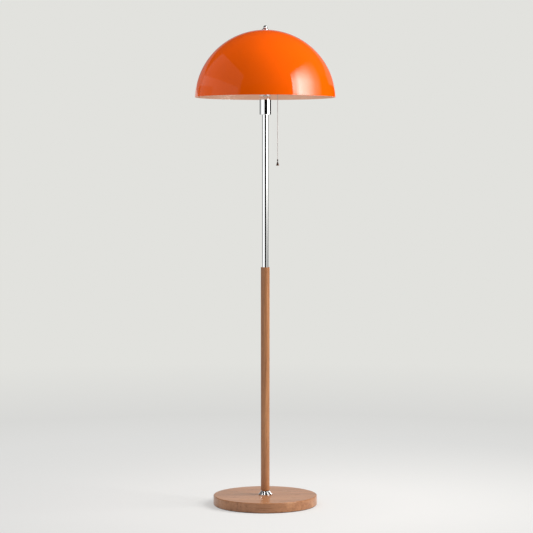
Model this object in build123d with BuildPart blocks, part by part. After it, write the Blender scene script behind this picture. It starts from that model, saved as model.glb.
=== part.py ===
from build123d import *
import os
from math import asin, atan, cos, degrees, pi, radians, sin, sqrt, tan

# A mushroom floor lamp: a domed shade carried by a wire harp, over a pull-chain socket, a chrome
# neck and rod, a wood pole and a round weighted base. Millimetres, +Z up. The origin is on the
# floor under the middle of the base. The pull chain hangs at +X, the harp's wire lies in the YZ
# plane, and the cord leaves the base at +Y, the back.

os.makedirs("parts", exist_ok=True)

# ---- Driving dimensions -------------------------------------------------------------------------

# Base: a wood disc with a weight let into its underside, over a soft pad
base_diameter = 330
base_thickness = 30
base_edge = 2.5
pad_thickness = 2
pad_inset = 3
ballast_diameter = 250
ballast_thickness = 9
ballast_roof = 10  # wood left above the weight
ballast_gap = 1  # round the weight, inside its recess
ballast_screw_circle = 200
ballast_screw_count = 3
ballast_screw_diameter = 4
ballast_screw_head_diameter = 8
ballast_screw_head = 2.6
ballast_screw_bite = 7.5  # length in the wood

# Cord outlet: a bush through the base's rim
cord_bore = 6.6
bush_wall = 1.2
bush_lip = 1.5
bush_lip_width = 1.5
cord_height = 8.5

# Threaded conduit (1/8 pipe), with its nut and washer
conduit_diameter = 9.7
conduit_bore = 6.5
nut_across_flats = 14
nut_thickness = 5
nut_washer_diameter = 22
nut_washer_thickness = 1.5
conduit_past_nut = 0.5

# Chrome collar between base and pole
collar_diameter = 43
collar_neck = 27
collar_height = 12
collar_foot = 1.6
flute_count = 18
flute_depth = 1.1

# Wood pole
pole_diameter = 28
pole_length = 715.5
pole_foot_round = 5
pole_top_chamfer = 0.8

# Chrome rod, let into the pole's top end, with a tapped plug in each end
rod_diameter = 20
rod_length = 522.5
rod_wall = 1.2
rod_seat_depth = 40
plug_length = 16

# Neck: a cup with a ring on its rim
cup_diameter = 37
cup_height = 51.5
cup_wall = 1.2
cup_floor = 2
cup_round = 1.8
ring_height = 6.5
ring_groove = 0.6
ring_spigot = 3

# Harp: a wire loop in a saddle, held by two sleeves, with an eye for the shade's stud
saddle_thickness = 1.6
saddle_width = 14
prong_width = 7
prong_span = 53.2  # outside to outside
prong_height = 28
prong_corner = 1.8
harp_wire = 3.2
harp_height = 203.3  # saddle's seat to the top of the eye
harp_width = 114
harp_belly = 81  # height of the widest corner
harp_shoulder = 150  # height of the corner above it
harp_shoulder_width = 100
harp_flat = 42  # level run through the eye
harp_bends = [24, 45, 60, 18]  # radii of a leg's bends, foot to top
harp_foot_gap = 3.2  # between the saddle and the wire's foot
harp_knee_room = 6.4  # above a lifted sleeve
harp_eye_diameter = 14
sleeve_height = 13
sleeve_wall = 1
sleeve_lift = 12

# Shade: a spun dome, part of a sphere, with a small flat where the finial clamps it
shade_diameter = 446
shade_height = 212
shade_wall = 1.2
shade_hole = 11
shade_flat = 13  # radius of the flat
shade_bands = 10
shade_sides = 60

# Stud, washer and finial
stud_diameter = 6.2
stud_head_diameter = 10
stud_head = 2
stud_seat_diameter = 16
stud_seat = 2.5
stud_reach = 8  # above the shade
shade_washer_diameter = 22
shade_washer_thickness = 2.4
finial_diameter = 22
finial_skirt = 5.4
finial_ball = 13.3
finial_height = 14.5
finial_edge = 1.8
finial_crown_angle = 75
finial_bands = 4
finial_sides = 32

# Pull-chain socket
socket_diameter = 36.5
socket_cap_height = 19
socket_cap_wall = 0.9
socket_cap_floor = 2
socket_cap_bevel = 1.6
hub_diameter = 15
hub_height = 8
shell_diameter = 34.3
shell_wall = 0.6
shell_top = 62  # above the saddle
shell_overlap = 6  # inside the cap
shell_lip = 1.2
liner_gap = 0.25
liner_wall = 0.5
body_diameter = 30.6
body_height = 22.7
screw_shell_diameter = 28.4
screw_shell_height = 25
screw_shell_wall = 0.5
terminal_head = 6.4
terminal_head_height = 1.8
terminal_length = 6
terminal_shank = 3
terminal_flat = 12  # from the axis to the face that a terminal screw bears on
terminal_offset = -3
contact_width = 5
contact_length = 10
contact_foot = 2.5
contact_sheet = 0.5
contact_rise = 3.4

# Switch, in a pocket of the socket body
lever_swing = 46
lever_sheet = 0.8
lever_tip = 12.4  # from the pin
lever_hub = 4.4
lever_hub_width = 1.6
lever_fork = 4
lever_fork_slot = 1.7
lever_fork_depth = 5.4
lever_fork_start = 6.2
pin_diameter = 2
pin_length = 13
pocket_width = 7
pocket_wall = 2.3  # between the pocket and the nozzle's end of the body
pocket_roof = 1.5
pocket_behind = 1.8  # behind the chain's end
wheel_diameter = 9
wheel_width = 2
wheel_teeth = 8
wheel_tooth = 1.1
spring_diameter = 4.4
spring_wire = 0.7
spring_width = 2
blade_sheet = 0.4
blade_width = 1.1

# Bead chain, nozzle and pull
bead_diameter = 2.4
bead_waist = 0.9
bead_pitch = 3.5
bead_sides = 6
chain_reach = 39.3  # from the lamp's axis
chain_line = 24  # of the nozzle's axis, above the saddle
lead_beads = 11
chain_beads = 64
nozzle_bore = 3
nozzle_wall = 0.9
nozzle_mouth = 9.4
nozzle_flare = 5  # outside
nozzle_lip = 1.25  # last stretch of the flare
nozzle_lip_turn = 0.45
mouth_flare = 1.6  # inside
nozzle_sides = 20
nozzle_short_of_chain = 1.7
nozzle_collar_diameter = 9.2
nozzle_collar = 1.2
connector_diameter = 3.8
connector_height = 8.5
connector_foot_taper = 1.7
connector_head_taper = 2.8
connector_sides = 12
bell_height = 13
bell_mouth = 9.6
bell_waist = 6.4  # halfway up
bell_neck = 3.6
bell_crown = 2.4
bell_crown_height = 2.2
bell_roof = 3.3  # over the hollow
bell_wall = 0.9
bell_sides = 16

# Bulb
bulb_diameter = 60
bulb_length = 108
bulb_cap_diameter = 26.4
bulb_cap_length = 25
bulb_cap_taper = 4
bulb_neck = 29
bulb_neck_length = 6
bulb_tip = 8
bulb_shoulder_angle = 20
bulb_crown_angle = 82
bulb_bands = 6
bulb_sides = 24

# Clearances
thread_clearance = 0.1
slip_clearance = 0.1
running_clearance = 0.06
pivot_clearance = 0.15
face_gap = 0.3

# ---- Seats, from the floor up -------------------------------------------------------------------

base_radius = base_diameter / 2
pad_top = pad_thickness
base_top = pad_top + base_thickness
ballast_top = base_top - ballast_roof
ballast_bottom = ballast_top - ballast_thickness
recess_radius = ballast_diameter / 2 + ballast_gap
washer_bottom = ballast_bottom - nut_washer_thickness
nut_bottom = washer_bottom - nut_thickness
conduit_foot = nut_bottom - conduit_past_nut
conduit_hole = conduit_diameter / 2 + thread_clearance
collar_top = base_top + collar_height
pole_top = collar_top + pole_length
rod_foot = pole_top - rod_seat_depth
rod_top = rod_foot + rod_length
rod_radius = rod_diameter / 2
plug_radius = rod_radius - rod_wall - slip_clearance
cup_radius = cup_diameter / 2
cup_rim = rod_top + cup_height
ring_top = cup_rim + ring_height
saddle_top = ring_top + saddle_thickness
hub_top = saddle_top + hub_height
wire_radius = harp_wire / 2
harp_top = ring_top + harp_height
eye_bottom = harp_top - harp_wire
stud_seat_bottom = harp_top + slip_clearance
stud_seat_top = stud_seat_bottom + stud_seat
shade_inner_top = stud_seat_top + shade_washer_thickness
shade_top = shade_inner_top + shade_wall
shade_rim = shade_top - shade_height
rim_radius = shade_diameter / 2
dome_centre = shade_rim + (shade_height**2 + shade_flat**2 - rim_radius**2) / (2 * shade_height)
dome_radius = sqrt(shade_flat**2 + (shade_top - dome_centre) ** 2)


def band(wide, narrow, height, sides):
    """A flat-sided band that stands on the XY plane and narrows upwards."""
    with BuildPart() as form:
        with BuildSketch():
            RegularPolygon(wide, sides)
        extrude(amount=height, taper=degrees(atan((wide - narrow) * cos(pi / sides) / height)))
    return form.part


def turned(outline, sides):
    """A solid of flat-sided bands between the rings (radius, height) of an outline, foot to top."""
    with BuildPart() as form:
        for (lower, foot), (upper, top) in zip(outline, outline[1:]):
            if upper > lower:
                with Locations((0, 0, top)):
                    add(band(upper, lower, top - foot, sides).mirror(Plane.XY))
            else:
                with Locations((0, 0, foot)):
                    add(band(lower, upper, top - foot, sides))
    return form.part


def fluted_ring(radius):
    """Corners of a ring with pointed flutes, cut inwards from its radius."""
    step = 180 / flute_count
    corners = []
    for i in range(2 * flute_count):
        r = radius - flute_depth * (i % 2)
        corners.append((r * cos(radians(i * step)), r * sin(radians(i * step))))
    return corners


# ---- Base ---------------------------------------------------------------------------------------

back = Plane(origin=(0, 0, cord_height), x_dir=(1, 0, 0), z_dir=(0, 1, 0))
bush_radius = cord_bore / 2 + bush_wall

with BuildPart() as base_pad:
    with BuildSketch():
        Circle(base_radius - pad_inset)
    extrude(amount=pad_thickness)
base_pad.part.label = "base_pad"
export_step(base_pad.part, "parts/base_pad.step")

with BuildPart() as base_disc:
    with BuildSketch(Plane.XY.offset(pad_top)):
        Circle(base_radius)
    extrude(amount=base_thickness)
    chamfer(base_disc.edges().group_by(Axis.Z)[-1], base_edge)
    with BuildSketch(Plane.XY.offset(pad_top)):
        Circle(recess_radius)
    extrude(amount=ballast_top - pad_top, mode=Mode.SUBTRACT)
    with BuildSketch(Plane.XY.offset(ballast_top)):
        Circle(conduit_hole)
    extrude(amount=ballast_roof, mode=Mode.SUBTRACT)
    with BuildSketch(Plane.XY.offset(ballast_top)):
        with PolarLocations(ballast_screw_circle / 2, ballast_screw_count):
            Circle(ballast_screw_diameter / 2 + slip_clearance)
    extrude(amount=ballast_screw_bite + face_gap, mode=Mode.SUBTRACT)
    with BuildSketch(back):
        Circle(bush_radius + slip_clearance)
    extrude(amount=base_diameter, mode=Mode.SUBTRACT)
base_disc.part.label = "base_disc"
export_step(base_disc.part, "parts/base_disc.step")

with BuildPart() as cord_bush:
    with BuildSketch(back.offset(recess_radius)):
        Circle(bush_radius)
    extrude(amount=base_radius - recess_radius)
    with BuildSketch(back.offset(base_radius)):
        Circle(bush_radius + bush_lip_width)
    extrude(amount=bush_lip)
    with BuildSketch(back.offset(recess_radius)):
        Circle(cord_bore / 2)
    extrude(amount=base_radius + bush_lip - recess_radius, mode=Mode.SUBTRACT)
cord_bush.part.label = "cord_bush"
export_step(cord_bush.part, "parts/cord_bush.step")

with BuildPart() as ballast_plate:
    with BuildSketch(Plane.XY.offset(ballast_bottom)):
        Circle(ballast_diameter / 2)
        Circle(conduit_hole, mode=Mode.SUBTRACT)
        with PolarLocations(ballast_screw_circle / 2, ballast_screw_count):
            Circle(ballast_screw_diameter / 2 + slip_clearance, mode=Mode.SUBTRACT)
    extrude(amount=ballast_thickness)
ballast_plate.part.label = "ballast_plate"
export_step(ballast_plate.part, "parts/ballast_plate.step")

with BuildPart() as ballast_screws:
    with BuildSketch(Plane.XY.offset(ballast_bottom - ballast_screw_head)):
        with PolarLocations(ballast_screw_circle / 2, ballast_screw_count):
            Circle(ballast_screw_head_diameter / 2)
    extrude(amount=ballast_screw_head)
    with BuildSketch(Plane.XY.offset(ballast_bottom)):
        with PolarLocations(ballast_screw_circle / 2, ballast_screw_count):
            Circle(ballast_screw_diameter / 2)
    extrude(amount=ballast_thickness + ballast_screw_bite)
ballast_screws.part.label = "ballast_screws"
export_step(ballast_screws.part, "parts/ballast_screws.step")

with BuildPart() as base_washer:
    with BuildSketch(Plane.XY.offset(washer_bottom)):
        Circle(nut_washer_diameter / 2)
        Circle(conduit_hole, mode=Mode.SUBTRACT)
    extrude(amount=nut_washer_thickness)
base_washer.part.label = "base_washer"
export_step(base_washer.part, "parts/base_washer.step")

with BuildPart() as base_nut:
    with BuildSketch(Plane.XY.offset(nut_bottom)):
        RegularPolygon(nut_across_flats / 2, 6, major_radius=False)
        Circle(conduit_hole, mode=Mode.SUBTRACT)
    extrude(amount=nut_thickness)
base_nut.part.label = "base_nut"
export_step(base_nut.part, "parts/base_nut.step")

flute_radius = collar_diameter / 2 - face_gap
flare_height = collar_height - collar_foot

with BuildPart() as base_collar:
    with BuildSketch(Plane.XY.offset(base_top)):
        Circle(collar_diameter / 2)
    extrude(amount=collar_foot)
    with BuildSketch(Plane.XY.offset(base_top + collar_foot)):
        with BuildLine():
            Polyline(*fluted_ring(flute_radius), close=True)
        make_face()
    extrude(amount=flare_height, taper=degrees(atan((flute_radius - collar_neck / 2) / flare_height)))
    with BuildSketch(Plane.XY.offset(base_top)):
        Circle(conduit_hole)
    extrude(amount=collar_height, mode=Mode.SUBTRACT)
base_collar.part.label = "base_collar"
export_step(base_collar.part, "parts/base_collar.step")

# ---- Pole, rod and the conduit that clamps them to the base -------------------------------------

with BuildPart() as tie_tube:
    with BuildSketch(Plane.XY.offset(conduit_foot)):
        Circle(conduit_diameter / 2)
        Circle(conduit_bore / 2, mode=Mode.SUBTRACT)
    extrude(amount=rod_foot + plug_length - conduit_foot)
tie_tube.part.label = "tie_tube"
export_step(tie_tube.part, "parts/tie_tube.step")

with BuildPart() as wood_pole:
    with BuildSketch(Plane.XY.offset(collar_top)):
        Circle(pole_diameter / 2)
    extrude(amount=pole_length)
    fillet(wood_pole.edges().group_by(Axis.Z)[0], pole_foot_round)
    chamfer(wood_pole.edges().group_by(Axis.Z)[-1], pole_top_chamfer)
    with BuildSketch(Plane.XY.offset(collar_top)):
        Circle(conduit_hole)
    extrude(amount=pole_length, mode=Mode.SUBTRACT)
    with BuildSketch(Plane.XY.offset(rod_foot)):
        Circle(rod_radius + slip_clearance)
    extrude(amount=rod_seat_depth, mode=Mode.SUBTRACT)
wood_pole.part.label = "wood_pole"
export_step(wood_pole.part, "parts/wood_pole.step")

with BuildPart() as chrome_rod:
    with BuildSketch(Plane.XY.offset(rod_foot)):
        Circle(rod_radius)
        Circle(rod_radius - rod_wall, mode=Mode.SUBTRACT)
    extrude(amount=rod_length)
chrome_rod.part.label = "chrome_rod"
export_step(chrome_rod.part, "parts/chrome_rod.step")

with BuildPart() as rod_plugs:
    with BuildSketch(Plane.XY.offset(rod_foot), Plane.XY.offset(rod_top - plug_length)):
        Circle(plug_radius)
        Circle(conduit_hole, mode=Mode.SUBTRACT)
    extrude(amount=plug_length)
rod_plugs.part.label = "rod_plugs"
export_step(rod_plugs.part, "parts/rod_plugs.step")

# ---- Neck ---------------------------------------------------------------------------------------

with BuildPart() as neck_nipple:
    with BuildSketch(Plane.XY.offset(rod_top - plug_length)):
        Circle(conduit_diameter / 2)
        Circle(conduit_bore / 2, mode=Mode.SUBTRACT)
    extrude(amount=hub_top - rod_top + plug_length)
neck_nipple.part.label = "neck_nipple"
export_step(neck_nipple.part, "parts/neck_nipple.step")

cup_bore = cup_radius - cup_wall

with BuildPart() as neck_cup:
    with BuildSketch(Plane.XZ):
        with BuildLine():
            Polyline(
                (conduit_hole, rod_top),
                (cup_radius - cup_round, rod_top),
                (cup_radius, rod_top + cup_round),
                (cup_radius, cup_rim),
                (cup_bore, cup_rim),
                (cup_bore, rod_top + cup_floor),
                (conduit_hole, rod_top + cup_floor),
                close=True,
            )
        make_face()
    revolve(axis=Axis.Z)
neck_cup.part.label = "neck_cup"
export_step(neck_cup.part, "parts/neck_cup.step")

with BuildPart() as neck_ring:
    with BuildSketch(Plane.XZ):
        with BuildLine():
            Polyline(
                (conduit_hole, cup_rim - ring_spigot),
                (cup_bore - slip_clearance, cup_rim - ring_spigot),
                (cup_bore - slip_clearance, cup_rim),
                (cup_radius - ring_groove, cup_rim),
                (cup_radius - ring_groove, cup_rim + ring_groove),
                (cup_radius, cup_rim + ring_groove),
                (cup_radius, ring_top),
                (conduit_hole, ring_top),
                close=True,
            )
        make_face()
    revolve(axis=Axis.Z)
neck_ring.part.label = "neck_ring"
export_step(neck_ring.part, "parts/neck_ring.step")

# ---- Harp ---------------------------------------------------------------------------------------

prong_y = prong_span / 2 - saddle_thickness / 2
leg_y = prong_span / 2 + face_gap + wire_radius

with BuildPart() as harp_saddle:
    with BuildSketch(Plane.XY.offset(ring_top)):
        with BuildLine():
            Polyline(
                (saddle_width / 2, -conduit_diameter),
                (saddle_width / 2, conduit_diameter),
                (prong_width / 2, prong_span / 2),
                (-prong_width / 2, prong_span / 2),
                (-saddle_width / 2, conduit_diameter),
                (-saddle_width / 2, -conduit_diameter),
                (-prong_width / 2, -prong_span / 2),
                (prong_width / 2, -prong_span / 2),
                close=True,
            )
        make_face()
        Circle(conduit_hole, mode=Mode.SUBTRACT)
    extrude(amount=saddle_thickness)
    with BuildSketch(Plane.XY.offset(ring_top)):
        with Locations((0, prong_y), (0, -prong_y)):
            Rectangle(prong_width, saddle_thickness)
    extrude(amount=prong_height)
    prong_tips = harp_saddle.edges().group_by(Axis.Z)[-1].filter_by(Axis.Y)
    chamfer(prong_tips, prong_corner)
harp_saddle.part.label = "harp_saddle"
export_step(harp_saddle.part, "parts/harp_saddle.step")

wire_top = harp_top - wire_radius
leg_foot = saddle_top + harp_foot_gap
leg_knee = saddle_top + sleeve_height + sleeve_lift + harp_knee_room
harp_side = harp_width / 2 - wire_radius

# Corners of one leg, from its foot to the level run through the eye
leg_corners = [
    (leg_y, leg_foot),
    (leg_y, leg_knee),
    (harp_side, ring_top + harp_belly),
    (harp_shoulder_width / 2 - wire_radius, ring_top + harp_shoulder),
    (harp_flat / 2, wire_top),
]

with BuildPart() as harp:
    with BuildLine(Plane.YZ) as harp_path:
        FilletPolyline(
            *[(-y, z) for y, z in leg_corners],
            *reversed(leg_corners),
            radius=harp_bends + harp_bends[::-1],
        )
    with BuildSketch(Plane(origin=harp_path.line @ 0, z_dir=harp_path.line % 0)):
        RegularPolygon(wire_radius, 8)
    sweep()
    with BuildSketch(Plane.XY.offset(eye_bottom)):
        Circle(harp_eye_diameter / 2)
    extrude(amount=harp_wire)
    with BuildSketch(Plane.XY.offset(eye_bottom)):
        Circle(stud_diameter / 2 + running_clearance)
    extrude(amount=harp_wire, mode=Mode.SUBTRACT)
harp.part.label = "harp"
export_step(harp.part, "parts/harp.step")

# Each sleeve wraps one prong and the leg beside it
sleeve_inner = prong_y - saddle_thickness / 2 - face_gap
sleeve_outer = leg_y + wire_radius + face_gap
sleeve_hollow = sleeve_outer - sleeve_inner
sleeve_y = (sleeve_outer + sleeve_inner) / 2
sleeve_bottom = saddle_top + face_gap
sleeve_across = prong_width + 2 * face_gap

with BuildPart() as sleeve_back:
    with BuildSketch(Plane.XY.offset(sleeve_bottom)) as sleeve_section:
        with Locations((0, sleeve_y)):
            Rectangle(sleeve_across + 2 * sleeve_wall, sleeve_hollow + 2 * sleeve_wall)
        chamfer(sleeve_section.vertices(), sleeve_wall)
        with Locations((0, sleeve_y)):
            Rectangle(sleeve_across, sleeve_hollow, mode=Mode.SUBTRACT)
    extrude(amount=sleeve_height)
sleeve_back.part.label = "sleeve_back"
export_step(sleeve_back.part, "parts/sleeve_back.step")

with BuildPart() as sleeve_front:
    add(sleeve_back.part.mirror(Plane.XZ))
sleeve_front.part.label = "sleeve_front"
export_step(sleeve_front.part, "parts/sleeve_front.step")

# ---- Shade, stud and finial ---------------------------------------------------------------------

stud_radius = stud_diameter / 2
stud_head_top = eye_bottom - slip_clearance

with BuildPart() as harp_stud:
    with BuildSketch(Plane.XZ):
        with BuildLine():
            Polyline(
                (0, stud_head_top - stud_head),
                (stud_head_diameter / 2, stud_head_top - stud_head),
                (stud_head_diameter / 2, stud_head_top),
                (stud_radius, stud_head_top),
                (stud_radius, stud_seat_bottom),
                (stud_seat_diameter / 2, stud_seat_bottom),
                (stud_seat_diameter / 2, stud_seat_top),
                (stud_radius, stud_seat_top),
                (stud_radius, shade_top + stud_reach),
                (0, shade_top + stud_reach),
                close=True,
            )
        make_face()
    revolve(axis=Axis.Z)
harp_stud.part.label = "harp_stud"
export_step(harp_stud.part, "parts/harp_stud.step")

with BuildPart() as shade_washer:
    with BuildSketch(Plane.XY.offset(stud_seat_top)):
        Circle(shade_washer_diameter / 2)
        Circle(stud_radius + slip_clearance, mode=Mode.SUBTRACT)
    extrude(amount=shade_washer_thickness)
shade_washer.part.label = "shade_washer"
export_step(shade_washer.part, "parts/shade_washer.step")


def dome_arc(inset, top):
    """Rings of the dome's sphere, from the rim up to the flat at a given height."""
    radius = dome_radius - inset
    start = asin((shade_rim - dome_centre) / radius)
    end = asin((top - dome_centre) / radius)
    turns = [start + (end - start) * i / shade_bands for i in range(shade_bands + 1)]
    return [(radius * cos(t), dome_centre + radius * sin(t)) for t in turns]


with BuildPart() as shade_dome:
    add(turned(dome_arc(0, shade_top), shade_sides))
    add(turned(dome_arc(shade_wall, shade_inner_top), shade_sides), mode=Mode.SUBTRACT)
    with BuildSketch(Plane.XY.offset(shade_inner_top)):
        Circle(shade_hole / 2)
    extrude(amount=shade_wall, mode=Mode.SUBTRACT)
shade_dome.part.label = "shade_dome"
export_step(shade_dome.part, "parts/shade_dome.step")

ball_radius = finial_ball / 2
finial_top = shade_top + finial_height
ball_centre = finial_top - ball_radius * sin(radians(finial_crown_angle))
skirt_top = shade_top + finial_skirt
skirt_outline = [
    (finial_diameter / 2, shade_top),
    (finial_diameter / 2, shade_top + finial_edge),
]


def ball_arc():
    """Rings of the finial's ball, from where it leaves the skirt up to its crown."""
    start = asin((skirt_top - ball_centre) / ball_radius)
    end = radians(finial_crown_angle)
    turns = [start + (end - start) * i / finial_bands for i in range(finial_bands + 1)]
    return [(ball_radius * cos(t), ball_centre + ball_radius * sin(t)) for t in turns]


with BuildPart() as finial:
    add(turned(skirt_outline + ball_arc(), finial_sides))
    with BuildSketch(Plane.XY.offset(shade_top)):
        Circle(stud_radius + thread_clearance)
    extrude(amount=stud_reach + face_gap, mode=Mode.SUBTRACT)
finial.part.label = "finial"
export_step(finial.part, "parts/finial.step")

# ---- Pull-chain socket --------------------------------------------------------------------------

cap_radius = socket_diameter / 2
cap_bore = cap_radius - socket_cap_wall
cap_rim = saddle_top + socket_cap_height
shell_radius = shell_diameter / 2
shell_foot = cap_rim - shell_overlap
shell_rim = saddle_top + shell_top
liner_radius = shell_radius - shell_wall - liner_gap
body_radius = body_diameter / 2
body_foot = hub_top + face_gap
body_top = body_foot + body_height
chain_z = saddle_top + chain_line
nozzle_radius = nozzle_bore / 2 + nozzle_wall
chain_side = Plane(origin=(0, 0, chain_z), x_dir=(0, 1, 0), z_dir=(1, 0, 0))

with BuildPart() as socket_cap:
    with BuildSketch(Plane.XZ):
        with BuildLine():
            Polyline(
                (conduit_hole, saddle_top),
                (cap_radius - socket_cap_bevel, saddle_top),
                (cap_radius, saddle_top + socket_cap_bevel),
                (cap_radius, cap_rim),
                (cap_bore, cap_rim),
                (cap_bore, saddle_top + socket_cap_floor),
                (hub_diameter / 2, saddle_top + socket_cap_floor),
                (hub_diameter / 2, hub_top),
                (conduit_hole, hub_top),
                close=True,
            )
        make_face()
    revolve(axis=Axis.Z)
socket_cap.part.label = "socket_cap"
export_step(socket_cap.part, "parts/socket_cap.step")

with BuildPart() as socket_shell:
    with BuildSketch(Plane.XZ):
        with BuildLine():
            Polyline(
                (shell_radius, shell_foot),
                (shell_radius, shell_rim),
                (shell_radius - shell_wall - shell_lip, shell_rim),
                (shell_radius - shell_wall - shell_lip, shell_rim - shell_wall),
                (shell_radius - shell_wall, shell_rim - shell_wall),
                (shell_radius - shell_wall, shell_foot),
                close=True,
            )
        make_face()
    revolve(axis=Axis.Z)
    slot_top = nozzle_radius + slip_clearance
    with BuildSketch(chain_side):
        with Locations((0, (slot_top - (chain_z - shell_foot)) / 2)):
            Rectangle(2 * slot_top, slot_top + chain_z - shell_foot)
    extrude(amount=shell_diameter, mode=Mode.SUBTRACT)
socket_shell.part.label = "socket_shell"
export_step(socket_shell.part, "parts/socket_shell.step")

with BuildPart() as socket_liner:
    with BuildSketch(Plane.XY.offset(shell_foot + face_gap)):
        Circle(liner_radius)
        Circle(liner_radius - liner_wall, mode=Mode.SUBTRACT)
    extrude(amount=shell_rim - shell_wall - shell_foot - 2 * face_gap)
    with BuildSketch(chain_side):
        with Locations((0, (slot_top - (chain_z - shell_foot)) / 2)):
            Rectangle(2 * slot_top + 2 * face_gap, slot_top + chain_z - shell_foot + face_gap)
    extrude(amount=shell_diameter, mode=Mode.SUBTRACT)
socket_liner.part.label = "socket_liner"
export_step(socket_liner.part, "parts/socket_liner.step")

# The lever's sheet crosses the chain at the waist between its last two beads, leaning back by half
# its swing at rest and forwards by as much when the chain is pulled. A pull moves the chain by two
# beads, so that another bead stands at the nozzle's mouth.
pull_travel = 2 * bead_pitch
half_swing = radians(lever_swing / 2)
chain_above_pin = pull_travel / 2 / tan(half_swing)
lead_end = chain_reach - pull_travel
lever_bead = lead_end - (lead_beads - 1) * bead_pitch
bead_radius = bead_diameter / 2
waist_radius = bead_waist / 2
pin_x = lever_bead + bead_pitch / 2 + pull_travel / 2
pin_z = chain_z - chain_above_pin
pin_axis = Plane(origin=(pin_x, 0, pin_z), x_dir=(1, 0, 0), z_dir=(0, 1, 0))
pocket_back = lever_bead - bead_pitch / 2 - pocket_behind
pocket_front = body_radius - pocket_wall
pocket_top = body_top - pocket_roof
terminal_z = body_foot + terminal_head

with BuildPart() as socket_body:
    with BuildSketch(Plane.XY.offset(body_foot)):
        Circle(body_radius)
    extrude(amount=body_height)
    # pocket for the switch, open below
    with BuildSketch(Plane.XY.offset(body_foot)):
        with Locations(((pocket_front + pocket_back) / 2, 0)):
            Rectangle(pocket_front - pocket_back, pocket_width)
    extrude(amount=pocket_top - body_foot, mode=Mode.SUBTRACT)
    # flats for the terminal screws, front and back
    with BuildSketch(Plane.XY.offset(body_foot)):
        with Locations((0, terminal_flat + body_radius), (0, -terminal_flat - body_radius)):
            Rectangle(body_diameter, 2 * body_radius)
    extrude(amount=2 * terminal_head, mode=Mode.SUBTRACT)
    for face_y in (-terminal_flat, terminal_flat - terminal_length):
        with BuildSketch(Plane.XZ.offset(face_y)):
            with Locations((terminal_offset, terminal_z)):
                Circle(terminal_shank / 2 + thread_clearance)
        extrude(amount=terminal_length, mode=Mode.SUBTRACT)
    # bearings of the lever's pin and the seat of the nozzle
    with BuildSketch(pin_axis.offset(-pin_length / 2)):
        Circle(pin_diameter / 2 + thread_clearance)
    extrude(amount=pin_length, mode=Mode.SUBTRACT)
    with BuildSketch(chain_side):
        Circle(nozzle_radius + thread_clearance)
    extrude(amount=body_diameter, mode=Mode.SUBTRACT)
socket_body.part.label = "socket_body"
export_step(socket_body.part, "parts/socket_body.step")

with BuildPart() as terminal_screws:
    with BuildSketch(Plane.XZ.offset(-terminal_flat - terminal_head_height)):
        with Locations((terminal_offset, terminal_z)):
            Circle(terminal_head / 2)
    extrude(amount=terminal_head_height)
    with BuildSketch(Plane.XZ.offset(-terminal_flat)):
        with Locations((terminal_offset, terminal_z)):
            Circle(terminal_shank / 2)
    extrude(amount=terminal_length)
    mirror(about=Plane.XZ)
terminal_screws.part.label = "terminal_screws"
export_step(terminal_screws.part, "parts/terminal_screws.step")

screw_shell_radius = screw_shell_diameter / 2
screw_shell_rim = body_top + screw_shell_height

with BuildPart() as screw_shell:
    with BuildSketch(Plane.XZ):
        with BuildLine():
            Polyline(
                (terminal_flat - terminal_head / 2, body_top),
                (screw_shell_radius, body_top),
                (screw_shell_radius, screw_shell_rim),
                (screw_shell_radius - screw_shell_wall, screw_shell_rim),
                (screw_shell_radius - screw_shell_wall, body_top + screw_shell_wall),
                (terminal_flat - terminal_head / 2, body_top + screw_shell_wall),
                close=True,
            )
        make_face()
    revolve(axis=Axis.Z)
screw_shell.part.label = "screw_shell"
export_step(screw_shell.part, "parts/screw_shell.step")

contact_back = -contact_length / 2

# A bent strip: it lies on the body and rises to a raised tongue under the bulb's contact
with BuildPart() as centre_contact:
    with BuildSketch(Plane.XZ.offset(-contact_width / 2)):
        with BuildLine():
            Polyline(
                (contact_back, body_top),
                (contact_back + contact_foot, body_top),
                (0, body_top + contact_rise - contact_sheet),
                (contact_length / 2, body_top + contact_rise - contact_sheet),
                (contact_length / 2, body_top + contact_rise),
                (-contact_sheet / 2, body_top + contact_rise),
                (contact_back + contact_foot - contact_sheet / 2, body_top + contact_sheet),
                (contact_back, body_top + contact_sheet),
                close=True,
            )
        make_face()
    extrude(amount=contact_width)
centre_contact.part.label = "centre_contact"
export_step(centre_contact.part, "parts/centre_contact.step")

# ---- Switch in the socket body ------------------------------------------------------------------

with BuildPart() as lever_pin:
    with BuildSketch(pin_axis.offset(-pin_length / 2)):
        Circle(pin_diameter / 2)
    extrude(amount=pin_length)
lever_pin.part.label = "lever_pin"
export_step(lever_pin.part, "parts/lever_pin.step")

# The lever leans back by half its swing; its local Z runs along the arm
lever_frame = Plane(
    origin=(pin_x, 0, pin_z),
    x_dir=(cos(half_swing), 0, sin(half_swing)),
    z_dir=(-sin(half_swing), 0, cos(half_swing)),
)

with BuildPart() as switch_lever:
    with BuildSketch(pin_axis.offset(-lever_hub_width / 2)):
        Circle(lever_hub / 2)
    extrude(amount=lever_hub_width)
    with BuildSketch(lever_frame):
        Rectangle(lever_sheet, lever_hub_width)
    extrude(amount=lever_fork_start)
    with BuildSketch(lever_frame.offset(lever_fork_start)):
        Rectangle(lever_sheet, lever_fork)
    extrude(amount=lever_tip - lever_fork_start)
    with BuildSketch(lever_frame.offset(lever_tip - lever_fork_depth)):
        Rectangle(2 * lever_sheet, lever_fork_slot)
    extrude(amount=lever_fork_depth, mode=Mode.SUBTRACT)
    with BuildSketch(pin_axis.offset(-lever_hub_width / 2)):
        Circle(pin_diameter / 2 + running_clearance)
    extrude(amount=lever_hub_width, mode=Mode.SUBTRACT)
switch_lever.part.label = "switch_lever"
export_step(switch_lever.part, "parts/switch_lever.step")

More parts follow.
